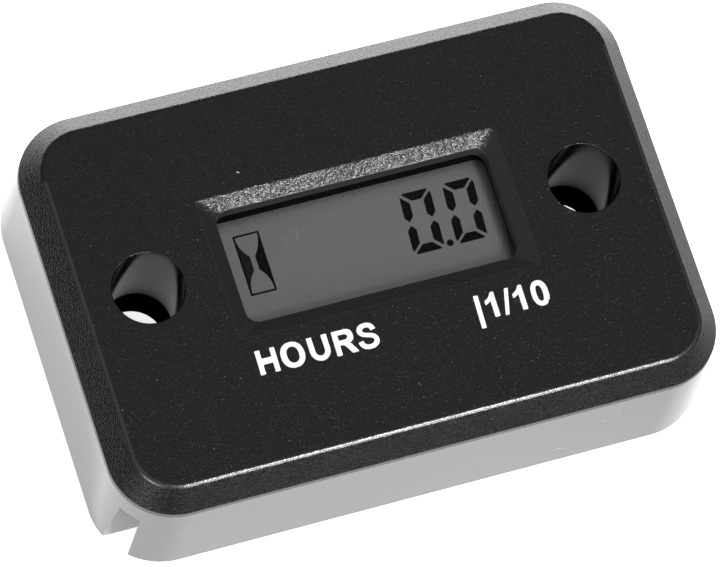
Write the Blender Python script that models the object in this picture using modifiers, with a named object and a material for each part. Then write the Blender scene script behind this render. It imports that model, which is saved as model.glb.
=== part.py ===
# Hour meter: a moulded housing with a sunk display window and two screw holes,
# filled from behind with potting compound over its board, cell and display.
# X runs along the long side, Y towards the top edge of the face, Z from the back plane to the face.

import math

import bmesh
import bpy
from mathutils import Vector

mm = 0.001

# Running gap between pieces that touch on the real meter
GAP = 0.3 * mm

# Housing moulding
HOUSING_LENGTH = 53.0 * mm
HOUSING_WIDTH = 36.0 * mm
HOUSING_HEIGHT = 12.7 * mm
CORNER_RADIUS = 5.95 * mm
WALL_DRAFT = 0.58 * mm
BEVEL_HEIGHT = 2.1 * mm
BEVEL_INSET = 1.75 * mm
FACE_EDGE_RADIUS = 0.45 * mm
WALL_EDGE_RADIUS = 0.2 * mm
BACK_EDGE_RADIUS = 0.2 * mm
WALL_THICKNESS = 1.5 * mm
FACE_THICKNESS = 2.3 * mm

# Screw holes, measured from the housing's ends, and the sleeves round them
ROW_OFFSET = 1.0 * mm
SCREW_EDGE = 7.8 * mm
SCREW_HOLE_RADIUS = 3.0 * mm
SCREW_HOLE_CHAMFER = 0.15 * mm
SLEEVE_WALL = 0.9 * mm
SHOULDER_WIDTH = 0.55 * mm
RIB_THICKNESS = 1.2 * mm

# Display window, between the screw holes and on their row
WINDOW_WEB = 2.8 * mm
WINDOW_WIDTH = 9.8 * mm
WINDOW_CORNER_RADIUS = 1.1 * mm
WINDOW_CHAMFER_WIDTH = 1.25 * mm
WINDOW_CHAMFER_DEPTH = 0.5 * mm
WINDOW_RIM_RADIUS = 0.35 * mm

# Posts that carry the board from the face side
POST_RADIUS = 1.5 * mm
POST_INSET = 2.4 * mm

# Wire inlet: a tapered slot through a solid corner of the housing, measured from its bottom edge
INLET_EDGE = 2.55 * mm
INLET_WIDTH_BACK = 2.1 * mm
INLET_WIDTH_FRONT = 1.5 * mm
INLET_DEPTH = 7.8 * mm
INLET_WALL = 1.7 * mm
INLET_BLOCK_LENGTH = 4.6 * mm

# Clear window lens, seated in a rebate behind the face
LENS_SEAT_DEPTH = 1.7 * mm
LENS_THICKNESS = 0.8 * mm
LENS_LAP = 1.0 * mm

# Display glass and its films
GLASS_THICKNESS = 0.5 * mm
GLASS_MARGIN = 1.05 * mm
GLASS_LEDGE = 2.0 * mm
FILM_THICKNESS = 0.2 * mm
FILM_MARGIN = 0.5 * mm

# Frame round the display and the two rubber contact strips
HOLDER_WALL = 0.7 * mm
STRIP_WIDTH = 1.4 * mm
STRIP_MARGIN = 1.2 * mm

# Potting compound
POTTING_RECESS = 0.5 * mm
POTTING_COVER = 0.5 * mm

# Battery cell, in the corner between the bottom wall and the right sleeve, and its welded tabs
CELL_RADIUS = 10.0 * mm
CELL_THICKNESS = 1.6 * mm
CELL_RIM_STEP = 0.9 * mm
CELL_CAP_HEIGHT = 0.3 * mm
CELL_WALL_MARGIN = 1.2 * mm
CELL_SLEEVE_MARGIN = 1.0 * mm
TAB_THICKNESS = 0.2 * mm
TAB_WIDTH = 3.0 * mm
TAB_FOOT = 1.6 * mm
PLUS_TAB_DROP = 5.5 * mm
MINUS_TAB_DROP = 1.0 * mm

# Circuit board, whose components stand on a grid
BOARD_THICKNESS = 0.8 * mm
BOARD_CLEARANCE = 0.6 * mm
BOARD_GRID = 0.635 * mm

# Small components on the back of the board: length, width, height
CAPACITOR_SIZE = (1.6 * mm, 0.8 * mm, 0.8 * mm)
RESISTOR_SIZE = (1.6 * mm, 0.8 * mm, 0.5 * mm)
TRANSISTOR_SIZE = (2.9 * mm, 1.3 * mm, 0.95 * mm)
DIODE_SIZE = (2.7 * mm, 1.6 * mm, 1.0 * mm)
CHIP_CAP_LENGTH = 0.35 * mm
CHIP_CAP_PROUD = 0.04 * mm
LEAD_REACH = 0.55 * mm
LEAD_WIDTH = 0.4 * mm
LEAD_THICKNESS = 0.15 * mm
PROCESSOR_RADIUS = 3.6 * mm
PROCESSOR_HEIGHT = 1.3 * mm
CRYSTAL_RADIUS = 1.0 * mm
CRYSTAL_LENGTH = 6.0 * mm
CRYSTAL_LEAD_LENGTH = 1.8 * mm
CRYSTAL_LEAD_RADIUS = 0.15 * mm
CRYSTAL_LEAD_SPACING = 0.7 * mm

# Heights worked out from the face towards the board
bevel_foot = HOUSING_HEIGHT - BEVEL_HEIGHT
ceiling = HOUSING_HEIGHT - FACE_THICKNESS
lens_seat = HOUSING_HEIGHT - LENS_SEAT_DEPTH
lens_bottom = lens_seat - GAP - LENS_THICKNESS
front_film_bottom = lens_bottom - GAP - FILM_THICKNESS
front_glass_bottom = front_film_bottom - GAP - GLASS_THICKNESS
rear_glass_bottom = front_glass_bottom - GAP - GLASS_THICKNESS
reflector_bottom = rear_glass_bottom - GAP - FILM_THICKNESS

# Heights worked out from the back plane towards the board
potting_floor = POTTING_RECESS + POTTING_COVER
plus_tab_bottom = potting_floor + GAP
cell_bottom = plus_tab_bottom + TAB_THICKNESS + GAP
minus_tab_bottom = cell_bottom + CELL_THICKNESS + GAP
board_bottom = minus_tab_bottom + TAB_THICKNESS + GAP
board_top = board_bottom + BOARD_THICKNESS
board_seat = board_top + GAP

# Plan sizes of the face, the window and the display
screw_x = HOUSING_LENGTH / 2 - SCREW_EDGE
sleeve_radius = SCREW_HOLE_RADIUS + SLEEVE_WALL
shoulder_radius = sleeve_radius + SHOULDER_WIDTH
window_half_length = screw_x - SCREW_HOLE_RADIUS - WINDOW_WEB - WINDOW_CHAMFER_WIDTH
window_half_width = WINDOW_WIDTH / 2
glass_half_length = window_half_length + GLASS_MARGIN
glass_half_width = window_half_width + GLASS_MARGIN
ledge_half_width = glass_half_width + GLASS_LEDGE

# Plan sizes of the inlet, the board and the cell
inlet_y = -HOUSING_WIDTH / 2 + INLET_EDGE
inlet_block_x = -HOUSING_LENGTH / 2 + WALL_THICKNESS + INLET_BLOCK_LENGTH
inlet_block_y = inlet_y + INLET_WIDTH_BACK / 2 + INLET_WALL
board_draft = WALL_DRAFT * board_bottom / bevel_foot
cavity_half_width = HOUSING_WIDTH / 2 - WALL_THICKNESS - board_draft
board_half_length = HOUSING_LENGTH / 2 - WALL_THICKNESS - board_draft - BOARD_CLEARANCE
board_half_width = cavity_half_width - BOARD_CLEARANCE
cell_y = -cavity_half_width + CELL_WALL_MARGIN + CELL_RADIUS
cell_sleeve_reach = sleeve_radius + CELL_SLEEVE_MARGIN + CELL_RADIUS
cell_x = screw_x - math.sqrt(cell_sleeve_reach ** 2 - (ROW_OFFSET - cell_y) ** 2)

# How far cutters run past the faces they cut
PAST = 1.0 * mm
CORNER_STEPS = 9
ROUND_STEPS = 40


def clear_scene():
    for item in list(bpy.data.objects):
        bpy.data.objects.remove(item, do_unlink=True)
    for group in list(bpy.data.collections):
        bpy.data.collections.remove(group)


def new_collection(name):
    group = bpy.data.collections.new(name)
    bpy.context.scene.collection.children.link(group)
    return group


def new_material(name, colour, roughness, metallic=0.0, alpha=1.0):
    material = bpy.data.materials.new(name)
    material.use_nodes = True
    shader = material.node_tree.nodes["Principled BSDF"]
    shader.inputs["Base Color"].default_value = (*colour, 1.0)
    shader.inputs["Roughness"].default_value = roughness
    shader.inputs["Metallic"].default_value = metallic
    shader.inputs["Alpha"].default_value = alpha
    return material


def new_piece(name, mesh, material=None, place=(0.0, 0.0, 0.0), smooth_angle=None):
    """A named sub-part in the meter's collection, parented to its empty."""
    piece = bpy.data.objects.new(name, mesh)
    meter.objects.link(piece)
    piece.parent = origin
    piece.location = place
    if material is not None:
        mesh.materials.append(material)
    if smooth_angle is not None:
        mesh.shade_smooth()
        mesh.set_sharp_from_angle(angle=math.radians(smooth_angle))
    return piece


def new_cutter(name, mesh, place=(0.0, 0.0, 0.0)):
    """A shape that only cuts or joins, kept out of the model's own collection."""
    cutter = bpy.data.objects.new(name, mesh)
    cutters.objects.link(cutter)
    cutter.location = place
    cutter.hide_render = True
    cutter.display_type = "WIRE"
    return cutter


def boolean(piece, cutter, operation="DIFFERENCE"):
    step = piece.modifiers.new(f"{operation.lower()} {cutter.name}", "BOOLEAN")
    step.operation = operation
    step.solver = "EXACT"
    step.object = cutter
    return step


def rounded_rectangle(half_x, half_y, radius, z, x=0.0, y=0.0, steps=CORNER_STEPS):
    """Points of a rectangle with round corners, anticlockwise seen from +Z."""
    corners = ((1, 1, 0), (-1, 1, 90), (-1, -1, 180), (1, -1, 270))
    points = []
    for side_x, side_y, start in corners:
        centre_x = x + side_x * (half_x - radius)
        centre_y = y + side_y * (half_y - radius)
        for step in range(steps + 1):
            angle = math.radians(start + 90 * step / steps)
            points.append((centre_x + radius * math.cos(angle), centre_y + radius * math.sin(angle), z))
    return points


def rectangle(low_x, high_x, low_y, high_y, z):
    return [(high_x, high_y, z), (low_x, high_y, z), (low_x, low_y, z), (high_x, low_y, z)]


def loft(name, sections):
    """Closed mesh through sections with equal numbers of points, lowest first."""
    mesh_data = bmesh.new()
    rings = [[mesh_data.verts.new(point) for point in section] for section in sections]
    for lower, upper in zip(rings, rings[1:]):
        for index in range(len(lower)):
            after = (index + 1) % len(lower)
            mesh_data.faces.new((lower[index], lower[after], upper[after], upper[index]))
    mesh_data.faces.new(list(reversed(rings[0])))
    mesh_data.faces.new(rings[-1])
    mesh = bpy.data.meshes.new(name)
    mesh_data.to_mesh(mesh)
    mesh_data.free()
    return mesh


def plate(name, half_x, half_y, radius, thickness):
    """Flat rounded plate standing on its own lower face."""
    return loft(name, [rounded_rectangle(half_x, half_y, radius, z) for z in (0.0, thickness)])


def cylinder(name, radius, height):
    """Round bar standing on its own lower face."""
    mesh_data = bmesh.new()
    bmesh.ops.create_cone(mesh_data, cap_ends=True, segments=ROUND_STEPS,
                          radius1=radius, radius2=radius, depth=height)
    bmesh.ops.translate(mesh_data, verts=mesh_data.verts, vec=(0.0, 0.0, height / 2))
    mesh = bpy.data.meshes.new(name)
    mesh_data.to_mesh(mesh)
    mesh_data.free()
    return mesh


def block(name, low, high):
    """Box between two corners, drawn where it stands."""
    mesh_data = bmesh.new()
    bmesh.ops.create_cube(mesh_data, size=1.0)
    low, high = Vector(low), Vector(high)
    bmesh.ops.scale(mesh_data, verts=mesh_data.verts, vec=high - low)
    bmesh.ops.translate(mesh_data, verts=mesh_data.verts, vec=(low + high) / 2)
    mesh = bpy.data.meshes.new(name)
    mesh_data.to_mesh(mesh)
    mesh_data.free()
    return mesh


def turned(name, profile):
    """Mesh of a profile of (radius, height) points, top to bottom, turned about Z."""
    mesh_data = bmesh.new()
    points = [mesh_data.verts.new((radius, 0.0, height)) for radius, height in profile]
    for upper, lower in zip(points, points[1:]):
        mesh_data.edges.new((upper, lower))
    mesh = bpy.data.meshes.new(name)
    mesh_data.to_mesh(mesh)
    mesh_data.free()
    return mesh


def add_screw(piece):
    """Turns the piece's profile once round its own Z axis."""
    turn = piece.modifiers.new("turn", "SCREW")
    turn.axis = "Z"
    turn.angle = 2 * math.pi
    turn.steps = ROUND_STEPS
    turn.render_steps = ROUND_STEPS
    turn.use_merge_vertices = True
    turn.merge_threshold = 0.00001
    turn.use_smooth_shade = True


def fillet(before, corner, after, radius, steps=4):
    """Points of the arc that rounds one corner of an outline."""
    corner = Vector(corner)
    towards_before = (Vector(before) - corner).normalized()
    towards_after = (Vector(after) - corner).normalized()
    half_angle = towards_before.angle(towards_after) / 2
    reach = radius / math.tan(half_angle)
    centre = corner + (towards_before + towards_after).normalized() * (radius / math.sin(half_angle))
    start = corner + towards_before * reach - centre
    end = corner + towards_after * reach - centre
    sweep = start.angle(end)
    points = []
    for step in range(steps + 1):
        share = step / steps
        blend = (start * math.sin((1 - share) * sweep) + end * math.sin(share * sweep)) / math.sin(sweep)
        points.append(tuple(centre + blend))
    return points


def flat_outline(name, outline, thickness):
    """Mesh of a flat outline in XY, its thickness shared evenly about Z = 0."""
    curve = bpy.data.curves.new(name, "CURVE")
    curve.dimensions = "2D"
    curve.fill_mode = "BOTH"
    curve.extrude = thickness / 2
    line = curve.splines.new("POLY")
    line.points.add(len(outline) - 1)
    for point, place in zip(line.points, outline):
        point.co = (place[0], place[1], 0.0, 1.0)
    line.use_cyclic_u = True
    guide = bpy.data.objects.new(name, curve)
    cutters.objects.link(guide)
    bpy.context.view_layer.update()
    solid = guide.evaluated_get(bpy.context.evaluated_depsgraph_get())
    mesh = bpy.data.meshes.new_from_object(solid)
    bpy.data.objects.remove(guide, do_unlink=True)
    weld(mesh)
    return mesh


def weld(mesh):
    mesh_data = bmesh.new()
    mesh_data.from_mesh(mesh)
    bmesh.ops.remove_doubles(mesh_data, verts=mesh_data.verts, dist=0.000001)
    bmesh.ops.recalc_face_normals(mesh_data, faces=mesh_data.faces)
    mesh_data.to_mesh(mesh)
    mesh_data.free()


def wall_inset(z):
    """How far the drafted outer wall has leaned in at a height."""
    return WALL_DRAFT * z / bevel_foot


def shell_section(inset, z):
    """The housing's outline moved in by an inset."""
    return rounded_rectangle(HOUSING_LENGTH / 2 - inset, HOUSING_WIDTH / 2 - inset, CORNER_RADIUS - inset, z)


def cavity_section(z, clearance=0.0):
    """The outline of the housing's hollow, or of what fits in it, at a height."""
    return shell_section(WALL_THICKNESS + wall_inset(z) + clearance, z)


def housing_mesh():
    """Drafted walls, a broad bevel and the face, with rounded edges between them."""
    back = (0.0, 0.0)
    foot = (WALL_DRAFT, bevel_foot)
    face_edge = (WALL_DRAFT + BEVEL_INSET, HOUSING_HEIGHT)
    inside_back = (HOUSING_WIDTH / 4, 0.0)
    inside_face = (HOUSING_WIDTH / 4, HOUSING_HEIGHT)
    profile = fillet(inside_back, back, foot, BACK_EDGE_RADIUS, 2)
    profile += fillet(back, foot, face_edge, WALL_EDGE_RADIUS, 2)
    profile += fillet(foot, face_edge, inside_face, FACE_EDGE_RADIUS, 4)
    return loft("housing", [shell_section(inset, z) for inset, z in profile])


def sleeve_cutter(name, side, radius, low, high):
    return new_cutter(name, cylinder(name, radius, high - low), (side * screw_x, ROW_OFFSET, low))


def inlet_block(name, clearance, low, high):
    """The solid corner that the wire inlet is cut through."""
    outer_corner = (-HOUSING_LENGTH / 2 - PAST, -HOUSING_WIDTH / 2 - PAST, low)
    inner_corner = (inlet_block_x + clearance, inlet_block_y + clearance, high)
    return new_cutter(name, block(name, outer_corner, inner_corner))


def window_cutter():
    """The window's opening and the shallow chamfer round it."""
    opening_top = HOUSING_HEIGHT - WINDOW_CHAMFER_DEPTH
    over = 0.1
    outer = WINDOW_CHAMFER_WIDTH * (1 + over)
    rim_radius = WINDOW_RIM_RADIUS - (WINDOW_CORNER_RADIUS - WINDOW_RIM_RADIUS) * over
    above = HOUSING_HEIGHT + WINDOW_CHAMFER_DEPTH * over
    half_x, half_y = window_half_length, window_half_width
    sections = [
        rounded_rectangle(half_x, half_y, WINDOW_CORNER_RADIUS, ceiling - PAST, y=ROW_OFFSET),
        rounded_rectangle(half_x, half_y, WINDOW_CORNER_RADIUS, opening_top, y=ROW_OFFSET),
        rounded_rectangle(half_x + outer, half_y + outer, rim_radius, above, y=ROW_OFFSET),
    ]
    return new_cutter("window_cutter", loft("window_cutter", sections))


def lens_rebate_cutter():
    """The pocket behind the face that the lens sits in."""
    reach = LENS_LAP + GAP
    half_x, half_y = window_half_length + reach, window_half_width + reach
    bottom = ceiling - PAST
    mesh = plate("lens_rebate_cutter", half_x, half_y, WINDOW_CORNER_RADIUS + reach, lens_seat - bottom)
    return new_cutter("lens_rebate_cutter", mesh, (0.0, ROW_OFFSET, bottom))


def screw_hole_cutter(name, side):
    """A through hole with a small chamfer at the face and at the back."""
    wide = SCREW_HOLE_RADIUS + SCREW_HOLE_CHAMFER + PAST
    top, bottom = HOUSING_HEIGHT, 0.0
    profile = [
        (0.0, top + PAST),
        (wide, top + PAST),
        (SCREW_HOLE_RADIUS, top - SCREW_HOLE_CHAMFER),
        (SCREW_HOLE_RADIUS, bottom + SCREW_HOLE_CHAMFER),
        (wide, bottom - PAST),
        (0.0, bottom - PAST),
    ]
    cutter = new_cutter(name, turned(name, profile), (side * screw_x, ROW_OFFSET, 0.0))
    add_screw(cutter)
    return cutter


def inlet_cutter():
    """The wire's slot, open at the back and at the corner, narrower towards the face."""
    low_x, high_x = -HOUSING_LENGTH / 2 - PAST, inlet_block_x + PAST
    taper = (INLET_WIDTH_BACK - INLET_WIDTH_FRONT) / 2 / INLET_DEPTH
    sections = []
    for z in (-PAST, INLET_DEPTH):
        half = INLET_WIDTH_BACK / 2 - taper * z
        sections.append(rectangle(low_x, high_x, inlet_y - half, inlet_y + half, z))
    return new_cutter("inlet_cutter", loft("inlet_cutter", sections))


def post_places():
    """Three corners of the board rest on posts; the inlet's block fills the fourth."""
    reach_x = HOUSING_LENGTH / 2 - WALL_THICKNESS - WALL_DRAFT - POST_INSET
    reach_y = HOUSING_WIDTH / 2 - WALL_THICKNESS - WALL_DRAFT - POST_INSET
    return [(reach_x, reach_y), (-reach_x, reach_y), (reach_x, -reach_y)]


def build_housing():
    housing = new_piece("housing", housing_mesh(), black_plastic, smooth_angle=25)
    hollow = loft("cavity_cutter", [cavity_section(z) for z in (-PAST, ceiling)])
    cavity = new_cutter("cavity_cutter", hollow)
    boolean(cavity, inlet_block("inlet_corner", 0.0, -2 * PAST, HOUSING_HEIGHT))
    boolean(housing, cavity)
    root = ceiling + FACE_THICKNESS / 4
    for side, word in ((-1, "left"), (1, "right")):
        boolean(housing, sleeve_cutter(f"sleeve_{word}", side, sleeve_radius, 0.0, root), "UNION")
        boolean(housing, sleeve_cutter(f"shoulder_{word}", side, shoulder_radius, board_seat, root), "UNION")
        rib_ends = sorted((side * (screw_x + SCREW_HOLE_RADIUS + SLEEVE_WALL / 2),
                           side * (HOUSING_LENGTH / 2 - WALL_THICKNESS)))
        rib = block(f"rib_{word}", (rib_ends[0], ROW_OFFSET - RIB_THICKNESS / 2, board_seat),
                    (rib_ends[1], ROW_OFFSET + RIB_THICKNESS / 2, root))
        boolean(housing, new_cutter(f"rib_{word}", rib), "UNION")
    for number, (x, y) in enumerate(post_places(), 1):
        post = cylinder(f"post_{number}", POST_RADIUS, root - board_seat)
        boolean(housing, new_cutter(f"post_{number}", post, (x, y, board_seat)), "UNION")
    boolean(housing, lens_rebate_cutter())
    boolean(housing, window_cutter())
    boolean(housing, screw_hole_cutter("screw_hole_left", -1))
    boolean(housing, screw_hole_cutter("screw_hole_right", 1))
    boolean(housing, inlet_cutter())


def build_lens():
    half_x, half_y = window_half_length + LENS_LAP, window_half_width + LENS_LAP
    mesh = plate("window_lens", half_x, half_y, WINDOW_CORNER_RADIUS + LENS_LAP, LENS_THICKNESS)
    new_piece("window_lens", mesh, clear_plastic, (0.0, ROW_OFFSET, lens_bottom))


def build_display():
    """Two sheets of glass between a polarising film and a reflecting one."""
    glass_x, glass_y = glass_half_length, glass_half_width
    film_x, film_y = glass_x - FILM_MARGIN, glass_y - FILM_MARGIN
    sheets = (
        ("lcd_front_polariser", film_x, film_y, FILM_THICKNESS, front_film_bottom, film_grey),
        ("lcd_front_glass", glass_x, ledge_half_width, GLASS_THICKNESS, front_glass_bottom, display_glass),
        ("lcd_rear_glass", glass_x, glass_y, GLASS_THICKNESS, rear_glass_bottom, display_glass),
        ("lcd_reflector", film_x, film_y, FILM_THICKNESS, reflector_bottom, film_silver),
    )
    for name, half_x, half_y, thickness, bottom, material in sheets:
        mesh = block(name, (-half_x, -half_y, 0.0), (half_x, half_y, thickness))
        new_piece(name, mesh, material, (0.0, ROW_OFFSET, bottom))


def build_holder():
    """Open frame that keeps the glass over its two contact strips."""
    inner_x, inner_y = glass_half_length + GAP, ledge_half_width + GAP
    outer_x, outer_y = inner_x + HOLDER_WALL, inner_y + HOLDER_WALL
    height = ceiling - GAP - board_seat
    holder = new_piece("lcd_holder", plate("lcd_holder", outer_x, outer_y, HOLDER_WALL, height),
                       white_plastic, (0.0, ROW_OFFSET, board_seat))
    opening = block("holder_opening", (-inner_x, -inner_y, -PAST), (inner_x, inner_y, height + PAST))
    boolean(holder, new_cutter("holder_opening", opening, (0.0, ROW_OFFSET, board_seat)))


def build_contact_strips():
    """Striped rubber strips that join the front glass's ledges to the board."""
    height = front_glass_bottom - GAP - board_seat
    middle = glass_half_width + GAP + STRIP_WIDTH / 2
    half_length = glass_half_length - STRIP_MARGIN
    for side, word in ((1, "upper"), (-1, "lower")):
        mesh = block(f"contact_strip_{word}", (-half_length, -STRIP_WIDTH / 2, 0.0),
                     (half_length, STRIP_WIDTH / 2, height))
        new_piece(f"contact_strip_{word}", mesh, strip_rubber,
                  (0.0, ROW_OFFSET + side * middle, board_seat))


def end_notch(name, side, low, high):
    """Round-bottomed notch that runs from a screw sleeve out past the board's end."""
    radius = sleeve_radius + GAP
    far = side * (HOUSING_LENGTH / 2 + PAST)
    turns = ROUND_STEPS // 2
    outline = []
    for step in range(turns + 1):
        angle = side * math.pi / 2 + math.pi * step / turns
        outline.append((side * screw_x + radius * math.cos(angle), ROW_OFFSET + radius * math.sin(angle)))
    outline.append((far, outline[-1][1]))
    outline.append((far, outline[0][1]))
    return new_cutter(name, loft(name, [[(x, y, z) for x, y in outline] for z in (low, high)]))


def build_board():
    """Board with a notch for each sleeve, which stops short of the inlet's corner."""
    sections = [cavity_section(z, BOARD_CLEARANCE) for z in (board_bottom, board_top)]
    board = new_piece("circuit_board", loft("circuit_board", sections), board_green)
    low, high = board_bottom - PAST, board_top + PAST
    for side, word in ((-1, "left"), (1, "right")):
        boolean(board, end_notch(f"board_notch_{word}", side, low, high))
    boolean(board, inlet_block("board_corner", BOARD_CLEARANCE, low, high))


def cell_profile():
    """Can, crimped rim and raised cap of a button cell, from the cap down."""
    cap_radius = CELL_RADIUS - CELL_RIM_STEP
    shoulder = CELL_THICKNESS - CELL_CAP_HEIGHT
    edge = CELL_CAP_HEIGHT / 2
    return [
        (0.0, CELL_THICKNESS),
        (cap_radius - edge, CELL_THICKNESS),
        (cap_radius, CELL_THICKNESS - edge),
        (cap_radius, shoulder),
        (CELL_RADIUS - edge, shoulder),
        (CELL_RADIUS, shoulder - edge),
        (CELL_RADIUS, edge),
        (CELL_RADIUS - edge, 0.0),
        (0.0, 0.0),
    ]


def build_cell():
    place = (cell_x, cell_y, cell_bottom)
    cell = new_piece("coin_cell", turned("coin_cell", cell_profile()), cell_steel, place)
    add_screw(cell)


def tab_outline(reach, low, high, foot_z):
    """Side view of a bent strip: flat on the cell, down past its rim, foot on the board."""
    t = TAB_THICKNESS
    return [
        (0.0, low), (reach, low), (reach, foot_z - t), (reach + TAB_FOOT, foot_z - t),
        (reach + TAB_FOOT, foot_z), (reach - t, foot_z), (reach - t, high), (0.0, high),
    ]


def build_tabs():
    """Nickel strips welded to the cell's two faces."""
    foot_z = board_bottom - GAP
    rim = CELL_RADIUS + GAP
    plus_low, plus_high = plus_tab_bottom, plus_tab_bottom + TAB_THICKNESS
    outline = tab_outline(rim + TAB_THICKNESS, plus_low, plus_high, foot_z)
    plus = new_piece("cell_tab_plus", flat_outline("cell_tab_plus", outline, TAB_WIDTH), nickel,
                     (cell_x, cell_y - PLUS_TAB_DROP, 0.0))
    plus.rotation_euler = (math.radians(90), 0.0, math.radians(180))
    half = (CELL_RADIUS + TAB_FOOT) / 2
    minus_mesh = plate("cell_tab_minus", half, TAB_WIDTH / 2, TAB_WIDTH / 8, TAB_THICKNESS)
    new_piece("cell_tab_minus", minus_mesh, nickel,
              (cell_x - half, cell_y - MINUS_TAB_DROP, minus_tab_bottom))


def chip_mesh(name, size):
    """Ceramic chip lying along X under the board, with end caps slightly proud."""
    length, width, height = size
    half = length / 2
    low = CHIP_CAP_PROUD
    stations = ((-half, 0.0), (-half + CHIP_CAP_LENGTH, 0.0), (-half + CHIP_CAP_LENGTH, low),
                (half - CHIP_CAP_LENGTH, low), (half - CHIP_CAP_LENGTH, 0.0), (half, 0.0))
    sections = []
    for along, sunk in stations:
        side, top = width / 2 - sunk, height - sunk
        sections.append([(along, -side, sunk), (along, side, sunk), (along, side, top), (along, -side, top)])
    return loft(name, sections)


def leaded_mesh(name, size, lead_places):
    """Moulded body under the board with flat leads bent out to each side."""
    length, width, height = size
    draft = height / 8
    middle = height / 2
    sections = [rectangle(-length / 2 + inset, length / 2 - inset, -width / 2 + inset, width / 2 - inset, z)
                for inset, z in ((draft, LEAD_THICKNESS), (0.0, middle), (draft, height))]
    body = new_cutter(f"{name}_body", loft(f"{name}_body", sections))
    half = width / 2
    t = LEAD_THICKNESS
    bend = LEAD_REACH / 2
    outline = [(half / 2, middle - t / 2), (half + bend - t, middle - t / 2), (half + bend - t, 0.0),
               (half + LEAD_REACH, 0.0), (half + LEAD_REACH, t), (half + bend, t),
               (half + bend, middle + t / 2), (half / 2, middle + t / 2)]
    for number, (x, side) in enumerate(lead_places, 1):
        lead_name = f"{name}_lead_{number}"
        lead = new_cutter(lead_name, flat_outline(lead_name, outline, LEAD_WIDTH))
        lead.rotation_euler = (math.radians(90), 0.0, math.radians(90 * side))
        lead.location = (x, 0.0, 0.0)
        boolean(body, lead, "UNION")
    bpy.context.view_layer.update()
    solid = body.evaluated_get(bpy.context.evaluated_depsgraph_get())
    mesh = bpy.data.meshes.new_from_object(solid)
    mesh.name = name
    return mesh


def crystal_mesh():
    """Small round can lying along X, with two wires out of its end."""
    can = new_cutter("crystal_can", cylinder("crystal_can", CRYSTAL_RADIUS, CRYSTAL_LENGTH))
    for number, side in ((1, -1), (2, 1)):
        wire = cylinder(f"crystal_wire_{number}", CRYSTAL_LEAD_RADIUS, CRYSTAL_LEAD_LENGTH + CRYSTAL_RADIUS)
        place = (side * CRYSTAL_LEAD_SPACING / 2, 0.0, CRYSTAL_LENGTH - CRYSTAL_RADIUS)
        boolean(can, new_cutter(f"crystal_wire_{number}", wire, place), "UNION")
    bpy.context.view_layer.update()
    solid = can.evaluated_get(bpy.context.evaluated_depsgraph_get())
    mesh = bpy.data.meshes.new_from_object(solid)
    mesh.name = "watch_crystal"
    return mesh


def processor_profile():
    """A low dome of resin, from its top down to the board."""
    points = []
    steps = 8
    for step in range(steps + 1):
        angle = math.radians(90 * (1 - step / steps))
        points.append((PROCESSOR_RADIUS * math.cos(angle), PROCESSOR_HEIGHT * math.sin(angle)))
    points[0] = (0.0, PROCESSOR_HEIGHT)
    points.append((0.0, 0.0))
    return points


# Components under the board: name, kind, grid steps from its left edge,
# grid steps from its top edge or, below zero, from its bottom edge, and quarter turns
COMPONENTS = (
    ("load_capacitor_1", "capacitor", 9, 9, 0),
    ("load_capacitor_2", "capacitor", 14, 9, 0),
    ("supply_capacitor", "capacitor", 31, 5, 1),
    ("bias_resistor", "resistor", 34, 5, 1),
    ("pull_resistor", "resistor", 37, 5, 1),
    ("clamp_diode", "diode", 5, -11, 1),
    ("signal_transistor", "transistor", 10, -10, 1),
    ("signal_capacitor", "capacitor", 12, -4, 0),
    ("input_resistor", "resistor", 17, -4, 0),
)
PROCESSOR_PLACE = (23, 8)
CRYSTAL_PLACE = (4, 4)


def board_place(from_left, from_edge):
    """X and Y of a place on the board's grid."""
    edge = math.copysign(board_half_width, from_edge)
    return from_left * BOARD_GRID - board_half_length, edge - from_edge * BOARD_GRID


def component_size(kind):
    sizes = {"capacitor": CAPACITOR_SIZE, "resistor": RESISTOR_SIZE,
             "transistor": TRANSISTOR_SIZE, "diode": DIODE_SIZE}
    return sizes[kind]


def component_mesh(name, kind):
    size = component_size(kind)
    if kind == "transistor":
        pitch = size[0] / 3
        return leaded_mesh(name, size, ((-pitch, -1), (pitch, -1), (0.0, 1)))
    if kind == "diode":
        return leaded_mesh(name, size, ((0.0, -1), (0.0, 1)))
    return chip_mesh(name, size)


def component_reach(kind):
    """Half length and half width that a component takes, leads included."""
    length, width, _height = component_size(kind)
    leads = LEAD_REACH if kind in ("transistor", "diode") else 0.0
    return length / 2, width / 2 + leads


def build_components():
    """Chips, transistor and diode hang from the board's back, top face down."""
    finishes = {"capacitor": ceramic_tan, "resistor": ceramic_black,
                "transistor": resin_black, "diode": resin_black}
    for name, kind, from_left, from_edge, turns in COMPONENTS:
        piece = new_piece(name, component_mesh(name, kind), finishes[kind],
                          (*board_place(from_left, from_edge), board_bottom - GAP))
        piece.rotation_euler = (math.pi, 0.0, turns * math.pi / 2)


def build_processor():
    processor = new_piece("processor_blob", turned("processor_blob", processor_profile()), resin_black,
                          (*board_place(*PROCESSOR_PLACE), board_bottom - GAP))
    add_screw(processor)
    processor.rotation_euler = (math.pi, 0.0, 0.0)


def build_crystal():
    crystal = new_piece("watch_crystal", crystal_mesh(), cell_steel,
                        (*board_place(*CRYSTAL_PLACE), board_bottom - GAP - CRYSTAL_RADIUS),
                        smooth_angle=30)
    crystal.rotation_euler = (math.pi / 2, 0.0, math.pi / 2)


def pocket(name, low_x, high_x, low_y, high_y, depth):
    """Room in the potting compound for one piece that hangs below the board."""
    low = (low_x - GAP, low_y - GAP, board_bottom - GAP - depth - GAP)
    high = (high_x + GAP, high_y + GAP, board_bottom + PAST)
    return new_cutter(name, block(name, low, high))


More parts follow.
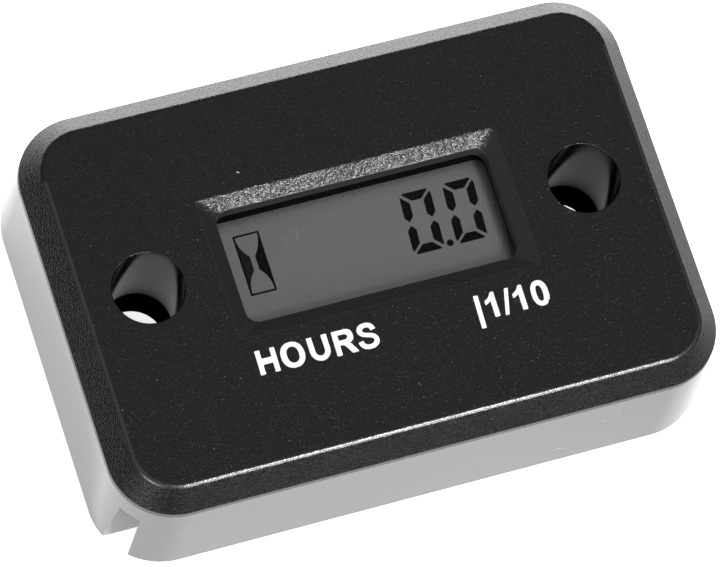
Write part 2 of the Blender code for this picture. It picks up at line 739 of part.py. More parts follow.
def build_potting():
    """Compound that fills the back up to the board and takes the shape of what it covers."""
    top = board_bottom - GAP
    sections = [cavity_section(z, GAP) for z in (POTTING_RECESS, top)]
    potting = new_piece("potting_compound", loft("potting_compound", sections), potting_resin)
    boolean(potting, inlet_block("potting_corner", GAP, -PAST, top + PAST))
    for side, word in ((-1, "left"), (1, "right")):
        boolean(potting, sleeve_cutter(f"potting_hole_{word}", side, sleeve_radius + GAP, -PAST, top + PAST))
    cell_room = cylinder("cell_pocket", CELL_RADIUS + GAP, top + PAST - potting_floor)
    boolean(potting, new_cutter("cell_pocket", cell_room, (cell_x, cell_y, potting_floor)))
    half = TAB_WIDTH / 2
    y = cell_y - PLUS_TAB_DROP
    boolean(potting, pocket("plus_tab_pocket", cell_x - CELL_RADIUS - GAP - TAB_THICKNESS - TAB_FOOT, cell_x,
                            y - half, y + half, top - potting_floor - GAP))
    y = cell_y - MINUS_TAB_DROP
    boolean(potting, pocket("minus_tab_pocket", cell_x - CELL_RADIUS - TAB_FOOT, cell_x,
                            y - half, y + half, TAB_THICKNESS + GAP))
    x, y = board_place(*PROCESSOR_PLACE)
    boolean(potting, pocket("processor_pocket", x - PROCESSOR_RADIUS, x + PROCESSOR_RADIUS,
                            y - PROCESSOR_RADIUS, y + PROCESSOR_RADIUS, PROCESSOR_HEIGHT))
    x, y = board_place(*CRYSTAL_PLACE)
    boolean(potting, pocket("crystal_pocket", x, x + CRYSTAL_LENGTH + CRYSTAL_LEAD_LENGTH,
                            y - CRYSTAL_RADIUS, y + CRYSTAL_RADIUS, 2 * CRYSTAL_RADIUS))
    for name, kind, from_left, from_edge, turns in COMPONENTS:
        x, y = board_place(from_left, from_edge)
        reach_x, reach_y = component_reach(kind)
        if turns % 2:
            reach_x, reach_y = reach_y, reach_x
        height = component_size(kind)[2]
        boolean(potting, pocket(f"{name}_pocket", x - reach_x, x + reach_x,
                                y - reach_y, y + reach_y, height))


clear_scene()
meter = new_collection("hour_meter")
cutters = new_collection("cutters")
origin = bpy.data.objects.new("hour_meter_origin", None)
meter.objects.link(origin)

black_plastic = new_material("housing_black", (0.02, 0.02, 0.021), 0.4)
clear_plastic = new_material("window_clear", (0.9, 0.92, 0.92), 0.05, alpha=0.2)
film_grey = new_material("polariser_grey", (0.16, 0.16, 0.16), 0.35)
film_silver = new_material("reflector_silver", (0.6, 0.6, 0.58), 0.3, 0.8)
display_glass = new_material("display_glass", (0.7, 0.75, 0.72), 0.05, alpha=0.35)
white_plastic = new_material("holder_white", (0.75, 0.75, 0.73), 0.5)
strip_rubber = new_material("contact_strip_pink", (0.55, 0.32, 0.3), 0.7)
board_green = new_material("board_green", (0.02, 0.16, 0.06), 0.4)
cell_steel = new_material("cell_steel", (0.62, 0.62, 0.63), 0.25, 1.0)
nickel = new_material("tab_nickel", (0.58, 0.56, 0.52), 0.3, 1.0)
ceramic_tan = new_material("capacitor_tan", (0.42, 0.3, 0.2), 0.6)
ceramic_black = new_material("resistor_black", (0.03, 0.03, 0.035), 0.5)
resin_black = new_material("resin_black", (0.015, 0.015, 0.016), 0.45)
potting_resin = new_material("potting_black", (0.018, 0.018, 0.02), 0.25)

build_housing()
build_lens()
build_display()
build_holder()
build_contact_strips()
build_board()
build_cell()
build_tabs()
build_components()
build_processor()
build_crystal()
build_potting()
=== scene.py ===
import math

import bmesh
import bpy
from mathutils import Matrix, Vector
from mathutils.geometry import tessellate_polygon


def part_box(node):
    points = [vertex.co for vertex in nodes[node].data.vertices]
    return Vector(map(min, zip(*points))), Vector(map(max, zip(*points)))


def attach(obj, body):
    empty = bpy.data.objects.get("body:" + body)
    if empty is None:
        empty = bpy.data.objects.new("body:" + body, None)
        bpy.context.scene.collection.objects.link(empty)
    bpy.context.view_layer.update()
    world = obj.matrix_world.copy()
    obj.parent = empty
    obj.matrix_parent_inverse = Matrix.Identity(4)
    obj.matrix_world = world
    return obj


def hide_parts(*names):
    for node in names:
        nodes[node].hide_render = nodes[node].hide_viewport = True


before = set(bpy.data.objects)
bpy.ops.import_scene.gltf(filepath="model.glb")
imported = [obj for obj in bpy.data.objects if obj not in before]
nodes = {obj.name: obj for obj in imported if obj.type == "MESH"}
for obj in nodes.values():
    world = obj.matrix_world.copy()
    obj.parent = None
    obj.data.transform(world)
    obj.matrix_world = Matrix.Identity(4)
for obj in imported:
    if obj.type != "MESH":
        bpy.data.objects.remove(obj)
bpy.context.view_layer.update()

mm = 0.001
collection = bpy.context.scene.collection
print("frame loaded:", len(nodes), "pieces")


# Small tools for meshes

def newObject(name, mesh):
    piece = bpy.data.objects.new(name, mesh)
    collection.objects.link(piece)
    return piece


def meshOf(name, verts, faces, edges=()):
    mesh = bpy.data.meshes.new(name)
    mesh.from_pydata(verts, edges, faces)
    return mesh


def cleanMesh(mesh, reach=0.001 * mm):
    # merges doubles, closes open rims and turns every face outwards
    data = bmesh.new()
    data.from_mesh(mesh)
    bmesh.ops.remove_doubles(data, verts=data.verts, dist=reach)
    bmesh.ops.holes_fill(data, edges=[edge for edge in data.edges if edge.is_boundary], sides=0)
    bmesh.ops.recalc_face_normals(data, faces=data.faces)
    data.to_mesh(mesh)
    data.free()


def roundedOutline(halfX, halfY, radius, z, y=0.0, steps=24):
    points = []
    for sideX, sideY, start in ((1, 1, 0), (-1, 1, 90), (-1, -1, 180), (1, -1, 270)):
        for step in range(steps + 1):
            angle = math.radians(start + 90 * step / steps)
            points.append((sideX * (halfX - radius) + radius * math.cos(angle),
                           y + sideY * (halfY - radius) + radius * math.sin(angle), z))
    return points


def loft(name, sections):
    # closed mesh through rings with equal numbers of points, lowest first
    verts = [point for section in sections for point in section]
    count = len(sections[0])
    faces = [tuple(reversed(range(count))), tuple(range(len(verts) - count, len(verts)))]
    for ring in range(len(sections) - 1):
        for index in range(count):
            low, after = ring * count + index, ring * count + (index + 1) % count
            faces.append((low, after, after + count, low + count))
    return meshOf(name, verts, faces)


def turned(name, profile, x, y, steps=72):
    # closed mesh of a profile of (radius, height) points, lowest first, turned about a vertical axis
    sections = []
    for radius, height in profile:
        sections.append([(x + radius * math.cos(2 * math.pi * step / steps),
                          y + radius * math.sin(2 * math.pi * step / steps), height) for step in range(steps)])
    return loft(name, sections)


def filletPoints(before, corner, after, radius, steps):
    # points of the arc that rounds one corner of a profile
    corner = Vector(corner)
    towardsBefore = (Vector(before) - corner).normalized()
    towardsAfter = (Vector(after) - corner).normalized()
    halfAngle = towardsBefore.angle(towardsAfter) / 2
    reach = radius / math.tan(halfAngle)
    centre = corner + (towardsBefore + towardsAfter).normalized() * (radius / math.sin(halfAngle))
    start, end = corner + towardsBefore * reach - centre, corner + towardsAfter * reach - centre
    sweep = start.angle(end)
    points = []
    for step in range(steps + 1):
        share = step / steps
        blend = (start * math.sin((1 - share) * sweep) + end * math.sin(share * sweep)) / math.sin(sweep)
        points.append(tuple(centre + blend))
    return points


def bake(piece):
    # turns the modifiers' result into the piece's own plain mesh
    graph = bpy.context.evaluated_depsgraph_get()
    mesh = bpy.data.meshes.new_from_object(piece.evaluated_get(graph), depsgraph=graph)
    piece.modifiers.clear()
    piece.data = mesh


def combine(piece, mesh, operation="DIFFERENCE"):
    tool = newObject(f"{piece.name}Tool", mesh)
    tool.hide_render = True
    step = piece.modifiers.new(operation.lower(), "BOOLEAN")
    step.operation = operation
    step.solver = "EXACT"
    step.object = tool
    return tool


# Small tools for node trees

def node(tree, kind, inputs=None, **settings):
    made = tree.nodes.new(kind)
    for key, value in settings.items():
        setattr(made, key, value)
    for key, value in (inputs or {}).items():
        if isinstance(value, bpy.types.NodeSocket):
            tree.links.new(value, made.inputs[key])
        else:
            made.inputs[key].default_value = value
    return made


def newTree(name, sockets):
    # a geometry tree with named inputs, its group input and its output
    tree = bpy.data.node_groups.new(name, "GeometryNodeTree")
    for label, kind in sockets:
        tree.interface.new_socket(label, in_out="INPUT", socket_type="NodeSocket" + kind)
    tree.interface.new_socket("Geometry", in_out="OUTPUT", socket_type="NodeSocketGeometry")
    return tree, tree.nodes.new("NodeGroupInput").outputs


def endTree(tree, made, finish):
    real = node(tree, "GeometryNodeRealizeInstances", {"Geometry": made})
    done = node(tree, "GeometryNodeSetMaterial", {"Geometry": real.outputs[0], "Material": finish})
    node(tree, "NodeGroupOutput", {"Geometry": done.outputs[0]})


def growWith(piece, tree, values):
    step = piece.modifiers.new(tree.name, "NODES")
    step.node_group = tree
    for item in tree.interface.items_tree:
        if item.item_type == "SOCKET" and item.in_out == "INPUT" and item.name in values:
            step[item.identifier] = values[item.name]
    bake(piece)


# Small tools for materials

def newMaterial(name, settings):
    material = bpy.data.materials.new(name)
    material.use_nodes = True
    tree = material.node_tree
    shader = tree.nodes["Principled BSDF"]
    for key, value in settings.items():
        shader.inputs[key].default_value = value
    place = node(tree, "ShaderNodeTexCoord").outputs["Object"]
    return material, tree, shader, place


def noise(tree, place, scale, detail=2.0, roughness=0.5):
    return node(tree, "ShaderNodeTexNoise", {"Vector": place, "Scale": scale, "Detail": detail,
                                             "Roughness": roughness}).outputs["Fac"]


def ranged(tree, value, low, high, start=0.0, end=1.0):
    return node(tree, "ShaderNodeMapRange", {"Value": value, "From Min": start, "From Max": end,
                                             "To Min": low, "To Max": high}).outputs["Result"]


def maths(tree, operation, first, second=0.0):
    return node(tree, "ShaderNodeMath", {0: first, 1: second}, operation=operation).outputs[0]


def mixed(tree, share, first, second):
    colours = {0: share, 6: first, 7: second}
    return node(tree, "ShaderNodeMix", colours, data_type="RGBA").outputs[2]


def bump(tree, height, distance, under=None):
    inputs = {"Height": height, "Distance": distance, "Strength": 1.0}
    if under is not None:
        inputs["Normal"] = under
    return node(tree, "ShaderNodeBump", inputs).outputs["Normal"]


def wire(tree, shader, colour, rough, normal):
    for value, socket in ((colour, "Base Color"), (rough, "Roughness"), (normal, "Normal")):
        tree.links.new(value, shader.inputs[socket])


def grey(value):
    return (value, value, value, 1.0)


def greys(tones):
    return [grey(tone) for tone in tones]


def noiseFinish(name, look):
    # one noise carries the tone, the gloss and a fine relief
    material, tree, shader, place = newMaterial(name, look["shader"])
    pattern = noise(tree, place, *look["noise"])
    wire(tree, shader, mixed(tree, pattern, *greys(look["tones"])), ranged(tree, pattern, *look["rough"]),
         bump(tree, pattern, look["relief"]))
    return material


# Camera, worked out from the photo's outline, holes and window

camera = {
    "place": (-109.492 * mm, -138.96 * mm, 438.32 * mm),
    "right": (0.94227, -0.30378, 0.14088),
    "up": (0.23969, 0.90566, 0.34976),
    "back": (-0.23384, -0.2958, 0.92619),
    "lens": 285.09,
    "sensor": 36.0,
}
eye = bpy.data.objects.new("camera", bpy.data.cameras.new("camera"))
collection.objects.link(eye)
turn = Matrix((camera["right"], camera["up"], camera["back"])).transposed()
eye.matrix_world = Matrix.Translation(camera["place"]) @ turn.to_4x4()
eye.data.lens = camera["lens"]
eye.data.sensor_width = camera["sensor"]
eye.data.clip_start = 0.01
bpy.context.scene.camera = eye
print("camera set")


# Housing finishes: grained on the face and bevel, polished on the walls and in the holes

grained = {
    "ior": 1.46, "tones": (0.0015, 0.0090), "rough": (0.16, 0.30), "grain": 7600.0, "grainDepth": 0.021 * mm,
    "pimples": 5200.0, "pimpleDepth": 0.012 * mm, "cloud": 1400.0, "cloudDepth": 0.006 * mm,
    "speckleSpread": (0.36, 0.66), "roughSpread": (0.3, 0.7), "pimpleSpread": (0.54, 0.72),
}
chamfered = dict(grained, ior=1.64, rough=(0.09, 0.17), grainDepth=0.024 * mm, pimpleDepth=0.008 * mm)


def grainedFinish(name, look):
    material, tree, shader, place = newMaterial(name, {"IOR": look["ior"]})
    cells = node(tree, "ShaderNodeTexVoronoi", {"Vector": place, "Scale": look["grain"]}).outputs["Distance"]
    fine = noise(tree, place, look["grain"] * 0.8, 3.0, 0.6)
    speckle = ranged(tree, fine, 0.0, 1.0, *look["speckleSpread"])
    soft = bump(tree, noise(tree, place, look["cloud"], 2.0), look["cloudDepth"])
    low = bump(tree, maths(tree, "ADD", cells, fine), look["grainDepth"], soft)
    pimples = ranged(tree, noise(tree, place, look["pimples"], 1.0), 0.0, 1.0, *look["pimpleSpread"])
    wire(tree, shader, mixed(tree, speckle, *greys(look["tones"])),
         ranged(tree, fine, *look["rough"], *look["roughSpread"]), bump(tree, pimples, look["pimpleDepth"], low))
    return material


housingBlack = grainedFinish("housingBlack", grained)
chamferBlack = grainedFinish("chamferBlack", chamfered)

# polished: the outer walls, with a coat that mirrors the paper
polished = {
    "shader": {"IOR": 1.75, "Coat Weight": 1.0, "Coat IOR": 1.62, "Coat Roughness": 0.08},
    "smear": (1900.0, 4.0, 0.65), "tones": (0.010, 0.016), "rough": (0.07, 0.17, 0.35, 0.7),
    "smearDepth": 0.0005 * mm, "wave": 260.0, "waveDepth": 0.004 * mm,
}
housingGloss, tree, shader, place = newMaterial("housingGloss", polished["shader"])
smear = noise(tree, place, *polished["smear"])
waved = bump(tree, noise(tree, place, polished["wave"], 2.0), polished["waveDepth"])
gloss = bump(tree, smear, polished["smearDepth"], waved)
wire(tree, shader, mixed(tree, smear, *greys(polished["tones"])), ranged(tree, smear, *polished["rough"]), gloss)
tree.links.new(gloss, shader.inputs["Coat Normal"])

# rubbed: the rounded edge of the face, where the grain has worn smooth
rubbed = {"ior": 1.74, "tones": (0.010, 0.016), "rough": (0.20, 0.32, 0.3, 0.7), "grainDepth": 0.006 * mm}
housingRubbed, tree, shader, place = newMaterial("housingRubbed", {"IOR": rubbed["ior"]})
cells = node(tree, "ShaderNodeTexVoronoi", {"Vector": place, "Scale": grained["grain"]}).outputs["Distance"]
fine = noise(tree, place, grained["grain"] * 0.7, 2.0, 0.6)
wire(tree, shader, mixed(tree, fine, *greys(rubbed["tones"])), ranged(tree, fine, *rubbed["rough"]),
     bump(tree, maths(tree, "ADD", cells, fine), rubbed["grainDepth"]))

# bore: the screw holes, polished, with painted shade towards the back end of the sleeve: the reflection is taken away
# there and stands for the shadowed paper that the bore mirrors
bore = {
    "ior": 1.5, "smear": (1900.0, 4.0, 0.65), "tones": (0.002, 0.005), "rough": (0.13, 0.2, 0.35, 0.7),
    "smearDepth": 0.0008 * mm, "paintedShadeTo": 3.4 * mm, "reflectionFullFrom": 6.2 * mm,
}
boreBlack, tree, shader, place = newMaterial("boreBlack", {"IOR": bore["ior"]})
smear = noise(tree, place, *bore["smear"])
heightAt = node(tree, "ShaderNodeSeparateXYZ", {0: place}).outputs["Z"]
# painted shade: no reflection low in the bore, rising to the usual strength higher up
shine = ranged(tree, heightAt, 0.0, 0.5, bore["paintedShadeTo"], bore["reflectionFullFrom"])
tree.links.new(shine, shader.inputs["Specular IOR Level"])
wire(tree, shader, mixed(tree, smear, *greys(bore["tones"])), ranged(tree, smear, *bore["rough"]),
     bump(tree, smear, bore["smearDepth"]))

# satin: the window's inner walls
windowSatin = noiseFinish("windowSatin", {
    "noise": (5200.0, 3.0, 0.6), "tones": (0.028, 0.042), "rough": (0.22, 0.36, 0.3, 0.7), "relief": 0.0006 * mm,
    "shader": {"IOR": 1.45, "Specular IOR Level": 0.0}})


# Housing: the outer skin is one profile swept round a rounded rectangle

housing = {
    "length": 53.0 * mm, "width": 36.0 * mm, "height": 12.7 * mm, "corner": 5.95 * mm, "cornerSteps": 28,
    "draft": 0.58 * mm, "bevelHeight": 2.1 * mm, "bevelInset": 1.75 * mm,
    "faceEdge": 0.55 * mm, "faceShift": -0.15 * mm, "wallEdge": 0.2 * mm, "backEdge": 0.2 * mm,
    "partingDrop": 0.45 * mm, "partingDepth": 0.025 * mm, "partingHalf": 0.055 * mm,
    "wall": 1.5 * mm, "faceWall": 2.3 * mm, "row": 1.0 * mm, "screwX": 18.7 * mm, "hole": 3.0 * mm,
    "holeEdge": 0.10 * mm, "holeDraft": 0.34 * mm, "holeNarrow": 3.4 * mm, "holeBlend": 3.0 * mm,
    "holeStep": 0.04 * mm, "sleeve": 3.9 * mm, "shoulder": 4.45 * mm, "rib": 1.2 * mm, "ribGap": 0.45 * mm,
    "boardSeat": 5.3 * mm, "post": 1.5 * mm, "postReach": 2.4 * mm,
    "windowX": 11.65 * mm, "windowY": 4.9 * mm, "windowCorner": 1.1 * mm, "windowRim": 0.35 * mm,
    "chamferWidth": 1.25 * mm, "chamferDepth": 0.5 * mm, "chamferTopEdge": 0.6 * mm, "chamferEdge": 0.14 * mm,
    "lensSeat": 11.0 * mm, "lensLap": 1.3 * mm, "printDepth": 0.01 * mm,
    "inletY": -15.45 * mm, "inletBack": 2.1 * mm, "inletFront": 1.5 * mm, "inletDepth": 7.8 * mm,
    "blockX": -20.4 * mm, "blockY": -12.7 * mm,
}
foot = housing["height"] - housing["bevelHeight"]
faceHeight = housing["height"] - housing["printDepth"]   # the print stands on the face, inside the CAD box
ceiling = housing["height"] - housing["faceWall"]
past = 1.0 * mm


def wallInset(z):
    return housing["draft"] * z / foot


def sweepTree():
    # sweeps the piece's own profile round a rectangle with rounded corners
    tree, given = newTree("roundedSweep", (
        ("Profile", "Geometry"), ("Length", "Float"), ("Width", "Float"), ("Corner radius", "Float"),
        ("Corner steps", "Int"), ("Finish", "Material")))
    outline = node(tree, "GeometryNodeCurvePrimitiveQuadrilateral",
                   {"Width": given["Length"], "Height": given["Width"]}, mode="RECTANGLE")
    rounded = node(tree, "GeometryNodeFilletCurve",
                   {"Curve": outline.outputs[0], "Count": given["Corner steps"],
                    "Radius": given["Corner radius"]}, mode="POLY")
    profile = node(tree, "GeometryNodeMeshToCurve", {"Mesh": given["Profile"]})
    swept = node(tree, "GeometryNodeCurveToMesh", {"Curve": rounded.outputs[0], "Profile Curve": profile.outputs[0]})
    endTree(tree, swept.outputs[0], given["Finish"])
    return tree


def housingProfile():
    back, edge = (0.0, 0.0), (housing["draft"], foot)
    face = (housing["draft"] + housing["bevelInset"], faceHeight)
    inside = housing["width"] / 8
    points = filletPoints((inside, 0.0), back, edge, housing["backEdge"], 4)
    line, depth, half = housing["partingDrop"], housing["partingDepth"], housing["partingHalf"]
    for drop, cut in ((line + half, 0.0), (line, depth), (line - half, 0.0)):
        points.append((wallInset(foot - drop) + cut, foot - drop))
    points += filletPoints(back, edge, face, housing["wallEdge"], 4)
    points += filletPoints(edge, face, (inside, faceHeight), housing["faceEdge"], 9)
    return points


def buildHousing():
    # the sweep lays the profile's X and Y the other way round
    profile = [(-inset, -z, 0.0) for inset, z in housingProfile()]
    links = [(index, index + 1) for index in range(len(profile) - 1)]
    piece = newObject("housingShell", meshOf("housingShell", profile, (), links))
    growWith(piece, sweepTree(), {
        "Length": housing["length"], "Width": housing["width"], "Corner radius": housing["corner"],
        "Corner steps": housing["cornerSteps"], "Finish": housingBlack})
    cleanMesh(piece.data)
    # the photo's lower bevel is a little narrower than the upper one
    for vertex in piece.data.vertices:
        vertex.co.y += housing["faceShift"] * max(0.0, vertex.co.z - foot) / (faceHeight - foot)

    def box(name, low, high):
        return loft(name, [[(high[0], high[1], z), (low[0], high[1], z), (low[0], low[1], z), (high[0], low[1], z)]
                           for z in (low[2], high[2])])

    def hollow(z):
        inset = housing["wall"] + wallInset(z)
        return roundedOutline(housing["length"] / 2 - inset, housing["width"] / 2 - inset,
                              housing["corner"] - inset, z)

    tools = []
    cavity = newObject("cavity", loft("cavity", [hollow(-past), hollow(ceiling)]))
    corner = box("inletCorner", (-housing["length"], -housing["width"], -2 * past),
                 (housing["blockX"], housing["blockY"], housing["height"]))
    tools.append(combine(cavity, corner))
    bake(cavity)
    tools.append(combine(piece, cavity.data))
    root, seat, row = ceiling + housing["faceWall"] / 4, housing["boardSeat"], housing["row"]
    for side in (-1, 1):
        x = side * housing["screwX"]
        for radius, low in ((housing["sleeve"], 0.0), (housing["shoulder"], seat)):
            tools.append(combine(piece, turned("sleeve", ((radius, low), (radius, root)), x, row), "UNION"))
        ends = sorted((side * (housing["screwX"] + housing["hole"] + housing["ribGap"]),
                       side * (housing["length"] / 2 - housing["wall"])))
        rib = box("rib", (ends[0], row - housing["rib"] / 2, seat), (ends[1], row + housing["rib"] / 2, root))
        tools.append(combine(piece, rib, "UNION"))
    reach = housing["wall"] + housing["draft"] + housing["postReach"]
    postX, postY = housing["length"] / 2 - reach, housing["width"] / 2 - reach
    for x, y in ((postX, postY), (-postX, postY), (postX, -postY)):
        tools.append(combine(piece, turned("post", ((housing["post"], seat), (housing["post"], root)), x, y), "UNION"))
    lap = housing["lensLap"]
    rebate = [roundedOutline(housing["windowX"] + lap, housing["windowY"] + lap, housing["windowCorner"] + lap, z, row)
              for z in (ceiling - past, housing["lensSeat"])]
    tools.append(combine(piece, loft("rebate", rebate)))
    tools.append(combine(piece, loft("window", windowSections())))
    for side in (-1, 1):
        tools.append(combine(piece, turned("hole", holeProfile(), side * housing["screwX"], row, 96)))
    taper = (housing["inletBack"] - housing["inletFront"]) / 2 / housing["inletDepth"]
    inlet = []
    for z in (-past, housing["inletDepth"]):
        half, x = housing["inletBack"] / 2 - taper * z, housing["blockX"] + past
        inlet.append([(x, housing["inletY"] + half, z), (-housing["length"], housing["inletY"] + half, z),
                      (-housing["length"], housing["inletY"] - half, z), (x, housing["inletY"] - half, z)])
    tools.append(combine(piece, loft("inlet", inlet)))
    bake(piece)
    for tool in tools + [cavity]:
        bpy.data.objects.remove(tool, do_unlink=True)
    return piece


def windowSections():
    # straight opening, then a shallow chamfer whose corners run from round to nearly sharp at the face
    top = housing["height"] - housing["chamferDepth"]
    wide = housing["chamferWidth"]
    profile = [(0.0, ceiling - past)]
    profile += filletPoints((0.0, ceiling), (0.0, top), (wide, faceHeight), housing["chamferEdge"], 4)
    profile += filletPoints((0.0, top), (wide, faceHeight), (2 * wide, faceHeight), housing["chamferTopEdge"], 4)
    profile.append((profile[-1][0], faceHeight + past))
    sections = []
    for out, z in profile:
        radius = housing["windowCorner"] + (housing["windowRim"] - housing["windowCorner"]) * min(1.0, out / wide)
        sections.append(roundedOutline(housing["windowX"] + out, housing["windowY"] + out, radius, z,
                                       housing["row"], 10))
    return sections


def holeProfile():
    radius, edge = housing["hole"], housing["holeEdge"]
    end, narrow = radius - housing["holeDraft"], housing["holeNarrow"]
    points = [(end, -past), (end, 0.0)]
    points += filletPoints((end, 0.0), (radius - housing["holeStep"], narrow), (radius, foot), housing["holeBlend"], 4)
    points += filletPoints((radius, foot), (radius, faceHeight), (radius + 2 * edge, faceHeight), edge, 5)
    points.append((radius + edge, faceHeight + past))
    return points


# how far a face's normal points up where its finish changes, and how far round a form its finish reaches
slopes = {"upright": 0.3, "gentle": 0.85, "level": 0.998, "edgeFrom": 0.66, "edgeTo": 0.995}
reaches = {"near": 0.05 * mm, "tight": 0.03 * mm, "edgeDepth": 0.2 * mm, "beside": 1.0 * mm, "window": 8.0 * mm}


def finishAt(centre, normal):
    # the finish that a face of the housing has at its place
    x, y, z = centre
    row, near = housing["row"], reaches["near"]
    halfX, halfY, corner = housing["length"] / 2, housing["width"] / 2, housing["corner"]
    upright = abs(normal.z) < slopes["upright"]
    depthX, depthY = abs(x) - (halfX - corner), abs(y) - (halfY - corner)
    reach = math.hypot(depthX, depthY) if min(depthX, depthY) > 0 else max(depthX, depthY)
    outer = upright and corner - reach < housing["draft"] + 2 * near and z < foot
    nearFoot = z > foot - housing["partingDrop"] - reaches["tight"]
    overX, overY = abs(x) - housing["windowX"], abs(y - row) - housing["windowY"]
    inWindow = overX < near and overY < near and z > ceiling
    inHole = math.hypot(abs(x) - housing["screwX"], y - row) < housing["hole"] + reaches["tight"]
    wide = housing["chamferWidth"] + 3 * near
    chamfer = (slopes["upright"] < normal.z < slopes["level"] and overX < wide and overY < wide
               and z > housing["lensSeat"] + past)
    inlet = (x < housing["blockX"] + 2 * near and abs(y - housing["inletY"]) < housing["inletBack"] / 2 + near
             and 0.01 * mm < z < housing["inletDepth"] + near)
    inside = abs(x) < housing["screwX"] + housing["hole"] + reaches["beside"] and abs(y - row) < reaches["window"]
    lowerEdge = (slopes["edgeFrom"] < normal.z < slopes["edgeTo"] and z > faceHeight - reaches["edgeDepth"]
                 and y < 0.0 and not inside)
    if upright and inWindow:
        return windowSatin
    if upright and inHole:
        return boreBlack
    if (outer and not nearFoot) or inlet:
        return housingGloss
    if chamfer:
        return windowSatin if normal.z < slopes["gentle"] else chamferBlack
    return housingRubbed if outer or lowerEdge else housingBlack


def finishHousing(piece):
    cleanMesh(piece.data)
    mesh = piece.data
    finishes = [housingBlack, housingGloss, housingRubbed, windowSatin, boreBlack, chamferBlack]
    mesh.materials.clear()
    for finish in finishes:
        mesh.materials.append(finish)
    for face in mesh.polygons:
        face.material_index = finishes.index(finishAt(face.center, face.normal))
    mesh.shade_smooth()
    mesh.set_sharp_from_angle(angle=math.radians(32))
    even = piece.modifiers.new("evenNormals", "WEIGHTED_NORMAL")
    even.keep_sharp = True
    bake(piece)
    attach(piece, "root")
    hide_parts("housing")


shell = buildHousing()
finishHousing(shell)
print("housing done:", len(shell.data.polygons), "faces")


# Print on the face: outlines in millimetres, as the photo shows them

ink = {
    "ior": 1.5, "cloud": 900.0, "tones": (0.86, 0.93), "grain": (6500.0, 3.0, 0.6),
    "rough": (0.4, 0.62, 0.3, 0.7), "relief": 0.004 * mm, "sunk": 0.002 * mm,
}
inkWhite, tree, shader, place = newMaterial("inkWhite", {"IOR": ink["ior"]})
inkGrain = noise(tree, place, *ink["grain"])
inkCloud = noise(tree, place, ink["cloud"], 2.0)
wire(tree, shader, mixed(tree, inkCloud, *greys(ink["tones"])), ranged(tree, inkGrain, *ink["rough"]),
     bump(tree, inkGrain, ink["relief"]))


def ovalLoop(x, y, halfX, halfY, power=2.15, steps=40):
    points = []
    for step in range(steps):
        angle = 2 * math.pi * step / steps
        cosine, sine = math.cos(angle), math.sin(angle)
        points.append((x + halfX * math.copysign(abs(cosine) ** (2 / power), cosine),
                       y + halfY * math.copysign(abs(sine) ** (2 / power), sine)))
    return points


def arcPoints(x, y, halfX, halfY, start, end, steps=14):
    return [(x + halfX * math.cos(math.radians(start + (end - start) * step / steps)),
             y + halfY * math.sin(math.radians(start + (end - start) * step / steps))) for step in range(steps + 1)]


def smoothRun(points, steps=4):
    # a smooth line through its points, which keeps both ends
    padded = [points[0]] + list(points) + [points[-1]]
    run = []
    for index in range(1, len(padded) - 2):
        before, start, end, after = (Vector(padded[index + shift]) for shift in (-1, 0, 1, 2))
        for step in range(steps):
            t = step / steps
            run.append(tuple(0.5 * (2 * start + (end - before) * t + (2 * before - 5 * start + 4 * end - after) * t * t
                                    + (3 * start - before - 3 * end + after) * t ** 3)))
    run.append(points[-1])
    return run


def softCorners(points, radius=0.06, sharpest=25):
    # takes the points off an outline's corners, as ink does
    done = []
    count = len(points)
    for index, point in enumerate(points):
        before, after = Vector(points[index - 1]), Vector(points[(index + 1) % count])
        here = Vector(point)
        turnAngle = (here - before).angle(after - here, 0.0)
        reach = min(radius, (here - before).length / 2.1, (after - here).length / 2.1)
        if math.degrees(turnAngle) < sharpest:
            done.append(tuple(here))
            continue
        start, end = here + (before - here).normalized() * reach, here + (after - here).normalized() * reach
        for step in range(4):
            t = step / 3
            done.append(tuple(start * (1 - t) ** 2 + here * 2 * t * (1 - t) + end * t * t))
    return done


letterH = [(-12.16, -8.475), (-12.11, -6.38), (-11.69, -6.38), (-11.70, -7.12), (-10.87, -7.13), (-10.86, -6.38),
           (-10.44, -6.40), (-10.49, -8.48), (-10.91, -8.48), (-10.90, -7.64), (-11.71, -7.65), (-11.73, -8.47)]
letterU = ([(-7.76, -6.41)] + arcPoints(-6.91, -7.64, 0.85, 0.90, 180, 360) + [(-6.05, -6.41), (-6.51, -6.40)]
           + arcPoints(-6.91, -7.64, 0.40, 0.46, 360, 180) + [(-7.32, -6.41)])
letterR = ([(-5.64, -6.42), (-5.69, -8.53), (-5.25, -8.52), (-5.22, -7.70)]
           + smoothRun([(-5.05, -7.70), (-4.86, -7.77), (-4.68, -8.02), (-4.38, -8.54)]) + [(-3.82, -8.52)]
           + smoothRun([(-4.14, -7.98), (-4.26, -7.76), (-4.40, -7.65)])
           + smoothRun([(-4.22, -7.58), (-4.02, -7.38), (-3.95, -7.08), (-4.00, -6.75), (-4.16, -6.52),
                        (-4.50, -6.42)]))
counterR = [(-5.20, -6.82)] + smoothRun([(-4.70, -6.82), (-4.50, -6.89), (-4.43, -7.06), (-4.51, -7.22),
                                        (-4.72, -7.28)]) + [(-5.19, -7.28)]
letterS = (smoothRun([(-2.00, -6.98), (-2.11, -6.68), (-2.36, -6.44), (-2.76, -6.34), (-3.16, -6.40), (-3.44, -6.58),
                      (-3.57, -6.86), (-3.53, -7.13), (-3.35, -7.36), (-3.05, -7.51), (-2.74, -7.60),
                      (-2.47, -7.71), (-2.38, -7.88), (-2.45, -8.06), (-2.65, -8.17), (-2.88, -8.19),
                      (-3.10, -8.13), (-3.23, -7.98), (-3.28, -7.78)])
           + smoothRun([(-3.71, -7.85), (-3.62, -8.18), (-3.40, -8.44), (-3.08, -8.57), (-2.76, -8.59),
                        (-2.38, -8.51), (-2.08, -8.28), (-1.96, -7.96), (-2.02, -7.65), (-2.22, -7.42),
                        (-2.50, -7.28), (-2.80, -7.20), (-3.03, -7.11), (-3.12, -6.95), (-3.04, -6.81),
                        (-2.80, -6.74), (-2.59, -6.78), (-2.49, -6.90), (-2.44, -7.08)]))


